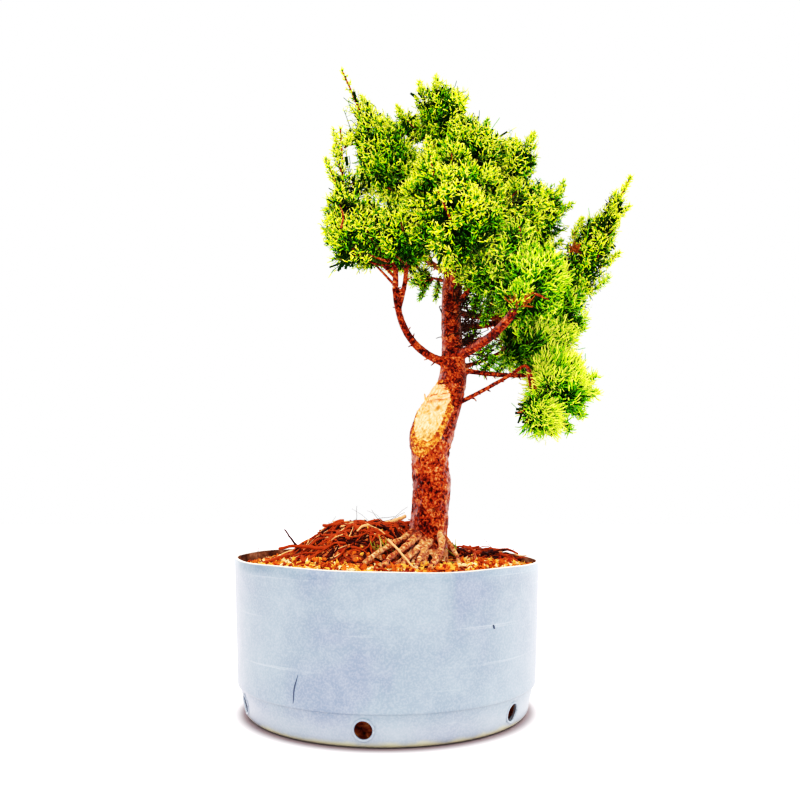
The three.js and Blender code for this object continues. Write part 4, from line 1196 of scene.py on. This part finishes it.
def make_foliage(materials):
    """Leaders, twigs, sprays and dead wood of every mass, joined by kind."""
    kinds = {name: [] for name in (*WOODY_KINDS, *FOLIAGE_COLOURS)}
    for number, space in enumerate(SPACES):
        random = np.random.default_rng(SEED + number)
        space.shoot = np.interp(space.centre[2], *zip(*SHOOT_LENGTHS))
        space.wild = np.interp(space.centre[2], *zip(*SHOOT_WILDNESS))
        leader = space.leader[None]
        kinds["twigs"].append(tubes(leader[..., :3], leader[..., 3], 7, tip=2))
        twigs = grow_twigs(space, random)
        taper = np.linspace(*GROWTH.twig_radius, twigs.lines.shape[1])
        kinds["twigs"].append(tubes(twigs.lines, np.tile(taper, (len(twigs.lines), 1)), 5, tip=1))
        for inner in (False, True):
            add_sprays(space, twigs, inner, kinds, random)
        if space.spire:
            add_spire(space, kinds, random)
        add_whips(space, kinds, random)
        add_back_plumes(space, kinds, random)
    add_plumes(kinds, random)
    add_dead_tufts(kinds, random)
    add_red_stems(kinds)
    add_stubs(kinds, random)
    add_bare_twigs(kinds, random)
    nodes = [f"foliage_{name}" for name in MASSES]
    for kind, chunks in kinds.items():
        pieces(f"foliage_{kind}", chunks, materials[kind], nodes)


def add_sprays(space, twigs, inner, kinds, random):
    """The sprays of a mass's skin, or of the inside, whose near black shoots are painted shade."""
    count = round(space.skin / GROWTH.spray_skin * (GROWTH.inner_share if inner else 1))
    ways = ways_round(space, count, random)
    reach = reach_along(space, ways)
    at_border = reach < GROWTH.border * reach_of_body(space, ways)
    kept = (reach > GROWTH.shortest_spray) & (~at_border | (random.random(count) < GROWTH.border_share))
    reach = reach - GROWTH.jitter * random.random(count)
    reach = np.maximum(reach - (GROWTH.inner_depth if inner else 0.3 * space.shoot), 3)
    ends = space.centre + ways * reach[:, None]
    kept &= ~in_gap(ends)
    ways, ends = ways[kept], ends[kept]
    roots, twig_of = grow_sprays(ends, ways, twigs)
    add_stems(roots, ends, kinds)
    if inner:
        lines = grow_shoots(roots, ends, INNER_SHOOT.length, 1, INNER_SHOOT.per_spray, random)
        add_inner_shoots(lines, ways, kinds)
    else:
        lines = grow_shoots(roots, ends, space.shoot, space.wild, SHOOT.per_spray, random)
        add_shoots(space, lines, ways, deal_light(ends, twig_of, random), GROWTH.stand_out, kinds, random)


def reach_of_body(space, ways):
    """How far ways from a mass's middle run to the skin of its own ellipsoid."""
    along = ways @ space.aim
    return 1 / np.sqrt((along / space.long)**2 + (1 - along**2) / space.wide**2)


def add_plume(space, stem, room, kinds, random):
    """Short sprays up a stem, each with the room it has to the side."""
    count = len(stem)
    way = unit(stem[-1] - stem[0])
    side = unit(np.cross(way, RIGHT))
    turn = (np.arange(count) * GOLDEN_ANGLE)[:, None]
    out = side * np.cos(turn) + np.cross(way, side) * np.sin(turn)
    ends = stem + unit(out * PLUME.out + way) * room[:, None]
    lines = grow_shoots(stem, ends, PLUME.shoot * space.shoot, PLUME.wild, SHOOT.per_spray // 2, random)
    light = PLUME.light + PLUME.light_up * way[2] + PLUME.light_chance * random.random(count)
    add_shoots(space, lines, out, light, math.inf, kinds, random)
    add_stems(stem, ends, kinds)


def add_spire(space, kinds, random):
    """The plume round the end of a leader that stands out of its mass."""
    along = space.long + space.spire * np.linspace(*PLUME.on_spire, PLUME.sprays)
    leader = space.leader[:, :3]
    leader_along = (leader - space.centre) @ space.aim
    stem = np.stack([np.interp(along, leader_along, column) for column in leader.T], axis=1)
    add_plume(space, stem, np.maximum(spire_width(space, along), 1), kinds, random)


def add_plumes(kinds, random):
    spaces = {space.name: space for space in SPACES}
    for name, root, tip, wide in PLUMES:
        add_stemmed_plume(spaces[name], root, tip, wide, PLUME.sprays, kinds, random)


def add_thin_stem(line, kinds):
    kinds["twigs"].append(tubes(line[None], np.linspace(*PLUME.radius, len(line))[None], 5, tip=1))


def add_stemmed_plume(space, root, tip, wide, sprays, kinds, random):
    """A plume on its own straight stem, which narrows towards the tip."""
    share = np.linspace(0, 1, sprays)
    stem = lerp(np.array(root, float), np.array(tip, float), share[:, None])
    add_plume(space, stem, lerp(wide, PLUME.tip_width, share), kinds, random)
    add_thin_stem(np.linspace(stem[0], stem[-1], 5), kinds)


def add_red_stems(kinds):
    for points in RED_STEMS:
        add_thin_stem(smooth_line(points, 4), kinds)


def add_back_plumes(space, kinds, random):
    """Plumes out of the back of a mass and along its bough, which close the crown there."""
    ways = ways_round(space, 3 * BACK.on_mass, random)
    ways = ways[ways[:, 1] > BACK.backward][:BACK.on_mass]
    roots = space.centre + ways * BACK.depth * reach_along(space, ways)[:, None]
    if space.name.startswith(BACK_BOUGHS):
        limb = LIMBS[space.name][:, :3]
        on_bough = at_share(limb, np.linspace(*BACK.bough_part, BACK.on_bough))
        round_bough = unit(np.cross(limb[-1] - limb[0], random.normal(0, 1, on_bough.shape)))
        roots = np.vstack([roots, on_bough])
        ways = np.vstack([ways, unit(round_bough + BACK.onward * unit(limb[-1] - limb[0]))])
    tips = roots + unit(ways + BACK.lift * UP) * lerp(*BACK.length, random.random((len(ways), 1)))
    hidden = behind_crown(tips)
    for root, tip in zip(roots[hidden], tips[hidden]):
        add_stemmed_plume(space, root, tip, BACK.wide, BACK.sprays, kinds, random)


def behind_crown(points):
    """Whether the crown stands in front of points, and no gap in it shows them."""
    shares = np.linspace(*BACK.sight, BACK.sight_steps)[:, None]
    sight = lerp(points[:, None], np.array(CAMERA.place), shares).reshape(-1, 3)
    inside = (out_of_crown(sight)[0] < -BACK.wide).reshape(len(points), -1)
    return inside.any(axis=1) & ~in_gap(sight).reshape(inside.shape).any(axis=1)


def add_dead_tufts(kinds, random):
    """Sprays that died back at the ends of boughs."""
    for root, way, length in DEAD_TUFTS:
        roots = np.tile(np.array(root, float), (DEAD_SPRAYS.count, 1))
        ways = unit(np.array(way) + random.normal(0, 0.3, roots.shape))
        ends = roots + ways * length * (0.6 + 0.4 * random.random((len(roots), 1)))
        lines = grow_shoots(roots, ends, PLUME.shoot * length, PLUME.wild, DEAD_SPRAYS.shoots, random)
        lines = lines.reshape(-1, 4, 3)
        facing = random.normal(0, 1, (len(lines), 3))
        for part in range(3):
            kinds["brown"].append(strips(lines[:, part:part + 2], SHOOT.width[part:part + 2], facing))
        add_stems(roots, ends, kinds)


def add_shoots(space, lines, outward, light, stand_out, kinds, random):
    """Shoots as curled strips that face out of the crown, with steps of the ladder for their parts."""
    sprays, count = lines.shape[:2]
    down_stem = 1 - (np.arange(count) + 0.5) / count
    # The steps paint light and shade into the shoots' colours.
    steps = STEP.middle + SHADED.get(space.name, 0) - STEP.light * light[:, None]
    steps = steps + STEP.stem * (down_stem - 0.4)
    steps = steps + random.normal(0, STEP.chance, (sprays, count))
    steps = steps - STEP.glint * (random.random((sprays, count)) < STEP.glints)
    steps = np.maximum(np.round(steps), 0).astype(int).ravel()
    lines = lines.reshape(-1, 4, 3)
    facing = np.repeat(outward, count, axis=0) + random.normal(0, SHOOT.tilt, (len(lines), 3))
    kept = (outside(space, lines[:, 3]) < stand_out) & ~in_gap(lines[:, 3])
    kept &= clear_of_limbs(lines[:, 1], SHOOT.clear) & clear_of_limbs(lines[:, 3], SHOOT.clear)
    for part, lower in enumerate(STEP.parts):
        span = slice(part, part + 2)
        colours = np.minimum(steps + lower, len(LADDER) - 1)
        for number, colour in enumerate(LADDER if space.wild == 1 else LOW_LADDER):
            chosen = kept & (colours == number)
            kinds[colour].append(strips(lines[chosen, span], SHOOT.width[span], facing[chosen]))


def add_inner_shoots(lines, outward, kinds):
    """Broad straight shoots of the inside, near black as painted shade."""
    facing = np.repeat(outward, lines.shape[1], axis=0)
    lines = lines.reshape(-1, 4, 3)[:, ::3]
    clear = clear_of_limbs(lines[:, 1], INNER_SHOOT.clear)
    kinds["deep"].append(strips(lines[clear], INNER_SHOOT.width, facing[clear]))


def add_stems(roots, ends, kinds):
    lines = np.stack([roots, ends], axis=1)
    facing = np.cross(ends - roots, UP) + 0.3 * UP
    kinds["stems"].append(strips(lines, (GROWTH.stem_width, GROWTH.stem_taper * GROWTH.stem_width), facing))


# Pail: a turned shell with an unevenly cut rim, drain holes and their raised lips.
def pot_profile():
    """Radius and height from the middle of the underside, up the outside, over the rim and down the
    inside."""
    wall, corner, step, rounding = POT.wall, POT.corner, POT.step_height, RIM.rounding
    points = [(0, 0), (0.5 * FOOT_RADIUS, 0)]
    for angle in np.linspace(-math.pi / 2, 0, 6):
        points.append((FOOT_RADIUS - corner + corner * math.cos(angle), corner + corner * math.sin(angle)))
    top = step + POT.step_rise
    for t in (0.35, 0.7, 0.95):
        points.append((lerp(FOOT_RADIUS, STEP_RADIUS, t), lerp(corner, step, t)))
    points += [(STEP_RADIUS, step), (SHOULDER_RADIUS - 0.6, step + 0.6)]
    points += [(SHOULDER_RADIUS - 0.1, step + 2), (SHOULDER_RADIUS, top)]
    for t in np.linspace(0, 1, 12)[1:]:
        points.append((lerp(SHOULDER_RADIUS, RIM_RADIUS, t), lerp(top, POT_HEIGHT - rounding, t)))
    points += [(RIM_RADIUS - rounding, POT_HEIGHT), (RIM_RADIUS - wall + rounding, POT_HEIGHT)]
    points += [(RIM_RADIUS - wall, POT_HEIGHT - rounding)]
    for t in np.linspace(1, 0, 6)[1:]:
        points.append((lerp(SHOULDER_RADIUS, RIM_RADIUS, t) - wall, lerp(top, POT_HEIGHT, t)))
    points += [(STEP_RADIUS - wall, step), (FOOT_RADIUS - wall, corner + POT.floor)]
    points += [(FOOT_RADIUS - corner, POT.floor), (0, POT.floor)]
    return np.array(points, float)


def lathe(profile, sides):
    """A turned mesh round Z: places, (rings, sides, 3), and triangles."""
    angles = np.arange(sides) * 2 * math.pi / sides
    ring = np.stack([np.cos(angles), np.sin(angles), np.zeros(sides)], axis=1)
    places = profile[:, :1, None] * ring + profile[:, 1:, None] * UP
    faces = []
    for i in range(len(profile) - 1):
        here = i * sides + np.arange(sides)
        following = i * sides + (np.arange(sides) + 1) % sides
        faces += [np.c_[here, following, following + sides], np.c_[here, following + sides, here + sides]]
    return places, np.vstack(faces)


def hole_ways():
    """The way out through each drain hole."""
    angles = np.radians(HOLES.first) + np.arange(HOLES.count) * 2 * math.pi / HOLES.count
    return np.c_[np.cos(angles), np.sin(angles), np.zeros(HOLES.count)]


def wall_radius(height):
    """Radius of the outside at heights above the rounded foot."""
    heights = [POT.corner, POT.step_height, POT.step_height + POT.step_rise, POT_HEIGHT]
    return np.interp(height, heights, [FOOT_RADIUS, STEP_RADIUS, SHOULDER_RADIUS, RIM_RADIUS])


def cut_and_dent(places):
    """Cut the rim unevenly and dent the walls of turned places."""
    angles = np.arctan2(places[..., 1], places[..., 0])
    turned = angles - math.radians(RIM.lowest)
    cut = sum(RIM.wave * np.sin(n * angles + n) for n in RIM.waves) - RIM.droop * (1 + np.cos(turned))
    high = smoothstep(RIM.cut_from * POT_HEIGHT, POT_HEIGHT, places[..., 2])
    places[..., 2] += (cut + RIM.rise * (1 - np.cos(turned)) / 2 - RIM.sink) * high
    dents = lattice_noise(places.reshape(-1, 3) / DENTS.length, NOISE.dents).reshape(angles.shape)
    walls = smoothstep(*(share * POT_HEIGHT for share in DENTS.fade), places[..., 2])
    places[..., :2] *= (1 + DENTS.share * dents * walls)[..., None]


def make_pail_dirt(material):
    """A thin crust of mud on the inside of the wall, from just under the rim to below the soil."""
    top = POT.step_height + POT.step_rise
    steps = np.array(MUD.up_wall)
    radii = lerp(SHOULDER_RADIUS, RIM_RADIUS, steps) - POT.wall
    heights = lerp(top, POT_HEIGHT, steps) - np.array([MUD.below_rim, 0, 0])
    face = np.c_[radii - MUD.crust, heights]
    back = np.c_[radii + MUD.crust, heights][::-1]
    places, faces = lathe(np.vstack([face, back, face[:1]]), POT.sides)
    cut_and_dent(places)
    piece("pot_dirt", mesh_of("pot_dirt", places.reshape(-1, 3), faces), material)


def make_pot(material, dark):
    make_shell(material)
    make_hole_lips(material)
    make_scratches(dark)


def make_shell(material):
    """The pail's shell with its drain holes."""
    places, faces = lathe(pot_profile(), POT.sides)
    cut_and_dent(places)
    mesh = mesh_of("pot_shell", places.reshape(-1, 3), faces)
    shell = piece("pot_shell", mesh, material, ["pot"])
    drills = []
    radius = wall_radius(HOLES.height)
    for way in hole_ways():
        line = np.linspace(radius - HOLES.drill, radius + HOLES.drill, 2)[:, None] * way + HOLES.height * UP
        drills.append(tubes(line[None], np.full((1, 2), HOLES.radius), HOLES.drill_sides))
    drill = add_object("drill", mesh_of("drill", *joined(drills)))
    add_cut(shell, drill)
    bored = modified_mesh(shell)
    shell.modifiers.clear()
    shell.data = bored
    bpy.data.objects.remove(drill)


def make_hole_lips(material):
    """The raised lip round each drain hole, which follows the wall."""
    lips = []
    for way in hole_ways():
        turn = np.linspace(0, 2 * math.pi, HOLES.lip_points)
        across = np.cross(UP, way)
        circle = np.cos(turn)[:, None] * across + np.sin(turn)[:, None] * UP
        circle = circle * (HOLES.radius + HOLES.lip_out)
        circle[:, 2] += HOLES.height
        out = wall_radius(circle[:, 2]) - HOLES.lip_in
        level = circle @ across
        circle += way * np.sqrt(out**2 - level**2)[:, None]
        lips.append(tubes(circle[None], np.full((1, len(turn)), HOLES.lip), 8))
    piece("pot_hole_lips", mesh_of("pot_hole_lips", *joined(lips)), material)


def make_scratches(material):
    scratches = []
    for start, end in SCRATCHES:
        turn, height = np.linspace(start, end, len(SCRATCH_RADII)).T
        turn = np.radians(turn + SCRATCH_WAVER.degrees * np.sin(SCRATCH_WAVER.pace * height))
        out = wall_radius(height)
        line = np.stack([out * np.cos(turn), out * np.sin(turn), height], axis=1)
        scratches.append(tubes(line[None], np.array([SCRATCH_RADII]), 6, tip=1))
    piece("pot_scratches", mesh_of("pot_scratches", *joined(scratches)), material)


# Soil: the bed with its mound, crumbs of bark and grit, fine roots and a few weeds.
def from_mound(x, y):
    """How far places are from the middle of the mound, as a share of its reach."""
    return np.hypot(x - SOIL.mound_centre[0], y - SOIL.mound_centre[1]) / SOIL.mound_reach


def soil_height(x, y):
    hollow = np.hypot(x - HOLLOW.centre[0], y - HOLLOW.centre[1]) / HOLLOW.reach
    rise = SOIL.mound_height * (1 - smoothstep(SOIL.mound_plateau, 1, from_mound(x, y)))
    dip = HOLLOW.depth * (1 - smoothstep(HOLLOW.plateau, 1, hollow))
    lumps = LUMP.height * np.sin(x / LUMP.length[0]) * np.sin(y / LUMP.length[1])
    return SOIL.level + np.maximum(0, rise - dip) + lumps


def bed_height(x, y):
    """Height of the bare bed, under the grit and roots that lie on it, which sinks towards the wall."""
    edge = smoothstep(-BED.edge_width, 0, np.hypot(x, y) - RIM_RADIUS + POT.wall)
    return soil_height(x, y) - BED.depth - BED.edge_depth * edge


def make_soil(material):
    """The bed that fills the pail, pressed in a little behind the drain holes."""
    outer = (RIM_RADIUS, SHOULDER_RADIUS, STEP_RADIUS)
    inside, shoulder, low = (radius - POT.wall - BED.gap for radius in outer)
    foot = FOOT_RADIUS - POT.wall - BED.foot_gap
    floor = POT.floor + BED.over_floor
    sides = [(0, floor), (0.6 * foot, floor), (foot - 4, floor), (foot, BED.foot_height)]
    for t in (0.25, 0.5, 0.75, 1.0):
        sides.append((lerp(foot, low, t), lerp(BED.foot_height, POT.step_height, t)))
    sides += [(shoulder, POT.step_height + POT.step_rise), (inside, SOIL.level)]
    first_on_top = len(sides)
    sides += [(radius, SOIL.level) for radius in np.linspace(inside, 0, BED.rings)[1:]]
    places, faces = lathe(np.array(sides, float), BED.sides)
    top = places[first_on_top - 1:]
    top[..., 2] = bed_height(top[..., 0], top[..., 1])
    bare = top.reshape(-1, 3)
    broad = BED.broad * lattice_noise(bare / BED.broad_length, NOISE.bed[1])
    rough = lattice_noise(bare / BED.rough_length, NOISE.bed[0]) + broad
    top[..., 2] += BED.rough * rough.reshape(top.shape[:2])
    for way in hole_ways():
        apart = np.linalg.norm(places - (way * foot + HOLES.height * UP), axis=2)
        pressed = HOLES.press * (1 - smoothstep(*HOLES.pressed, apart))
        places -= way * pressed[..., None] * (places[..., 2:] < POT.step_height + BED.press_above)
    piece("soil_bed", mesh_of("soil_bed", places.reshape(-1, 3), faces), material, ["soil"])


def crumbs(places, sizes, random):
    """Rough chips at places, each with six corners."""
    corners = np.vstack([np.eye(3), -np.eye(3)])
    faces = np.array([(0, 1, 2), (1, 3, 2), (3, 4, 2), (4, 0, 2), (1, 0, 5), (3, 1, 5), (4, 3, 5), (0, 4, 5)])
    count = len(places)
    stretch = (0.6 + 0.8 * random.random((count, 1, 3))) * CRUMB_SIDES
    bumps = 0.75 + 0.5 * random.random((count, len(corners), 1))
    turn = np.linalg.qr(random.normal(0, 1, (count, 3, 3)))[0]
    lumps = (corners * stretch * bumps) @ turn * sizes[:, None, None] + places[:, None]
    starts = np.arange(count)[:, None, None] * len(corners)
    return lumps.reshape(-1, 3), (faces + starts).reshape(-1, 3)


def make_grit(materials):
    """Grains over the whole bed, few of them on the mound."""
    random = np.random.default_rng(SEED + STREAM.grit)
    radius = (RIM_RADIUS - POT.wall - GRIT.clear) * np.sqrt(random.random(GRIT.count))
    angle = 2 * math.pi * random.random(GRIT.count)
    x, y = radius * np.cos(angle), radius * np.sin(angle)
    on_mound = 1 - smoothstep(*GRIT.mound_edge, from_mound(x, y))
    kept = random.random(GRIT.count) > GRIT.bare_mound * on_mound
    x, y, on_mound = x[kept], y[kept], on_mound[kept]
    sizes = GRIT.size[0] + GRIT.size[1] * random.random(len(x))**2
    places = np.c_[x, y, bed_height(x, y) + sizes * (0.4 + 0.8 * random.random(len(x)))]
    tone = random.random(len(x)) - GRIT.darker * on_mound
    kinds = np.select([tone > chance for chance in GRIT_CHANCES.values()], list(GRIT_CHANCES), "rust")
    for kind, material in materials.items():
        chosen = kinds == kind
        chunk = crumbs(places[chosen], sizes[chosen], random)
        piece(f"grit_{kind}", mesh_of(f"grit_{kind}", *chunk, smooth=False), material)


def make_root_mat(materials):
    """Broken and living roots that lie over the mound, snags of old wood and wisps that stand out of it."""
    random = np.random.default_rng(SEED + STREAM.mat)
    kinds = {kind: [] for kind in materials}
    for kind, count, radius, long, lift, free in ROOT_MAT:
        t = np.linspace(0, 1, MAT.rings)
        beside = random.random((count, 1)) < BESIDE.share
        middle = np.where(beside, BESIDE.middle, SOIL.mound_centre)
        spread = np.where(beside, BESIDE.spread, MAT.spread * SOIL.mound_reach)
        start = middle + random.normal(0, 1, (count, 2)) * spread
        heading = 2 * math.pi * random.random((count, 1))
        heading = heading + random.normal(0, MAT.wander, (count, MAT.rings)).cumsum(axis=1)
        step = long * (0.5 + random.random(count)) / (MAT.rings - 1)
        ways = np.stack([np.cos(heading), np.sin(heading)], axis=2)
        flat = start[:, None] + (ways * step[:, None, None]).cumsum(axis=1)
        kept = np.linalg.norm(flat, axis=2).max(axis=1) < RIM_RADIUS - POT.wall - GRIT.clear
        flat, beside = flat[kept], beside[kept]
        level = lift * random.random((len(flat), 1))
        level = level + free * t**MAT.free_power * random.random((len(flat), 1))
        level = level + BESIDE.lift * beside * random.random((len(flat), 1))
        height = bed_height(flat[..., 0], flat[..., 1]) + level
        lines = np.concatenate([flat, height[..., None]], axis=2)
        radii = radius * (0.6 + 0.8 * random.random((len(lines), 1))) * np.linspace(*MAT.taper, MAT.rings)
        kinds[kind].append(tubes(lines, radii, 5 if radius > 1 else 4, tip=0.8))
    for kind, radius, *points in SNAGS:
        line = smooth_line(points, 5)
        line = line + random.normal(0, SNAG.rough * radius, line.shape)
        kinds[kind].append(tubes(line[None], radius * np.linspace(*SNAG.taper, len(line))[None], 7, tip=1))
    for kind, material in materials.items():
        pieces(f"root_mat_{kind}", kinds[kind], material)


def make_weeds(material, moss):
    """Seedlings on the mound and moss beside the trunk."""
    random = np.random.default_rng(SEED + STREAM.weeds)
    blades = []
    for root, spread, height, count in WEEDS:
        root = np.tile(np.array(root, float), (count, 1))
        out = random.normal(0, spread, (count, 3)) * (1, 1, 0.4)
        out = out + UP * height * (0.6 + 0.4 * random.random((count, 1)))
        lines = np.stack([root, root + 0.55 * out + random.normal(0, 0.8, out.shape), root + out], axis=1)
        blades.append(tubes(lines, np.tile(BLADE_RADII, (count, 1)), 4, tip=1.5))
    pieces("weeds", blades, material)
    tufts = []
    for centre, spread, count in MOSS:
        places = np.array(centre) + random.normal(0, 1, (count, 3)) * (spread, spread, 0)
        places[:, 2] = bed_height(places[:, 0], places[:, 1]) + 2.5 * random.random(count)
        tufts.append(crumbs(places, 0.8 + 0.9 * random.random(count), random))
    pieces("moss", tufts, moss, smooth=False)


# Studio: a floor that glows pale but for a painted shadow round the pail's foot, soft light from all round
# and a broad light above, and the camera.
def make_floor():
    mesh = bpy.data.meshes.new("floor")
    corners = [(x * FLOOR.half, y * FLOOR.half, 0) for x, y in ((-1, -1), (1, -1), (1, 1), (-1, 1))]
    mesh.from_pydata(corners, [], [(0, 1, 2, 3)])
    pale = Look("floor", FLOOR.colour, roughness=0.9)
    pale.shader.inputs["Emission Color"].default_value = (1, 1, 1, 1)
    # Painted shadow: the floor's glow fades out towards the pail's foot, so the dark floor shows there.
    glow_and_painted_shadow = pale.between(pale.apart((0, 0, 0)), (FOOT_RADIUS - 1) * MM, (FOOT_RADIUS + FLOOR.shade) * MM)
    glow_and_painted_shadow = pale.times(glow_and_painted_shadow, FLOOR.glow_and_painted_shadow)
    pale.tree.links.new(glow_and_painted_shadow, pale.shader.inputs["Emission Strength"])
    mesh.materials.append(pale.material)
    floor = add_object("floor", mesh)


def make_backdrop():
    """White all round, which gives more light from behind the tree than from the front."""
    world = bpy.data.worlds.new("studio")
    world.use_nodes = True
    nodes, links = world.node_tree.nodes, world.node_tree.links
    background = nodes["Background"]
    background.inputs["Color"].default_value = (1, 1, 1, 1)
    way = nodes.new("ShaderNodeVectorMath")
    way.operation = "DOT_PRODUCT"
    way.inputs[1].default_value = BACKDROP.way
    links.new(nodes.new("ShaderNodeTexCoord").outputs["Generated"], way.inputs[0])
    behind = nodes.new("ShaderNodeMapRange")
    spans = zip(("From Min", "From Max", "To Min", "To Max"), (*BACKDROP.fade, FILL_LIGHT, BACKDROP.light))
    for key, value in spans:
        behind.inputs[key].default_value = value
    links.new(way.outputs["Value"], behind.inputs["Value"])
    strength = nodes.new("ShaderNodeMapRange")
    links.new(behind.outputs["Result"], strength.inputs["To Min"])
    links.new(nodes.new("ShaderNodeLightPath").outputs["Is Camera Ray"], strength.inputs["Value"])
    links.new(strength.outputs["Result"], background.inputs["Strength"])
    bpy.context.scene.world = world


def make_studio():
    scene = bpy.context.scene
    make_floor()
    make_backdrop()
    light = bpy.data.lights.new("key", "SUN")
    light.energy = KEY_LIGHT.power
    light.angle = math.radians(KEY_LIGHT.softness)
    lamp = add_object("key", light)
    lamp.rotation_euler = (math.radians(KEY_LIGHT.tilt), 0, math.radians(KEY_LIGHT.turn))
    camera = add_object("camera", bpy.data.cameras.new("camera"))
    camera.location = np.array(CAMERA.place) * MM
    camera.rotation_euler = (math.radians(90 + CAMERA.pitch), 0, 0)
    camera.data.lens = CAMERA.lens
    camera.data.sensor_width = CAMERA.sensor
    camera.data.clip_start = CAMERA.nearest
    scene.camera = camera
    scene.view_settings.view_transform = "Standard"
    scene.view_settings.use_curve_mapping = True
    mapping = scene.view_settings.curve_mapping
    for value, shown in CONTRAST:
        mapping.curves[3].points.new(value, shown)
    mapping.update()


def plain_looks(name, colours, roughness, grain, specular):
    """Plain looks of several kinds, alike but for their colours."""
    looks = {}
    for kind, colour in colours.items():
        looks[kind] = plain_look(f"{name}_{kind}", colour, roughness, grain, specular)
    return looks


make_studio()
bough_bark = bark_look("bough_bark", BARK_TONES, fineness=400, stretch=EVEN, painted_rim_light=0.3)
make_pot(pail_look(), plain_look("scratch", SMALL.scratch, roughness=0.7, grain=600))
make_pail_dirt(grained_look(
    "pail_dirt", MUD_TONES, relief=(0.5, 0.5), roughness=0.95, specular=0.05,
    scale=60, detail=5, stretch=(1, 1, 2.5),
))
make_soil(grained_look(
    "soil", SOIL_TONES, relief=(0.9, 2.0), roughness=0.95, specular=0.1,
    scale=190, detail=6, distortion=0.5,
))
make_grit(plain_looks("grit", GRIT_COLOURS, roughness=0.85, grain=900, specular=0.1))
make_root_mat(plain_looks("root", ROOT_COLOURS, roughness=0.8, grain=500, specular=0.1))
make_weeds(
    plain_look("weed", SMALL.weed, roughness=0.6, grain=500),
    plain_look("moss", SMALL.moss, roughness=0.9, grain=900),
)
make_bark({
    "bark": bark_look("bark", BARK_TONES, fineness=430, stretch=(1, 1, 0.9), painted_rim_light=0.6),
    "bough_bark": bough_bark,
    "root_bark": bark_look("root_bark", ROOT_TONES, fineness=300, stretch=EVEN, painted_rim_light=0.2),
    "scar_wood": scar_look(),
    "scar_callus": grained_look(
        "callus", CALLUS_TONES, relief=(0.7, 1.2), roughness=0.75, specular=0.2,
        scale=330, detail=7, distortion=0.9,
    ),
})
make_foliage({
    **plain_looks("foliage", FOLIAGE_COLOURS, roughness=0.6, grain=800, specular=0.0),
    "twigs": bough_bark,
    "dead_twigs": plain_look("dead_twig", SMALL.dead_twig, roughness=0.9, grain=600, specular=0.1),
    "stems": plain_look("green_stem", SMALL.green_stem, roughness=0.7, grain=700),
})
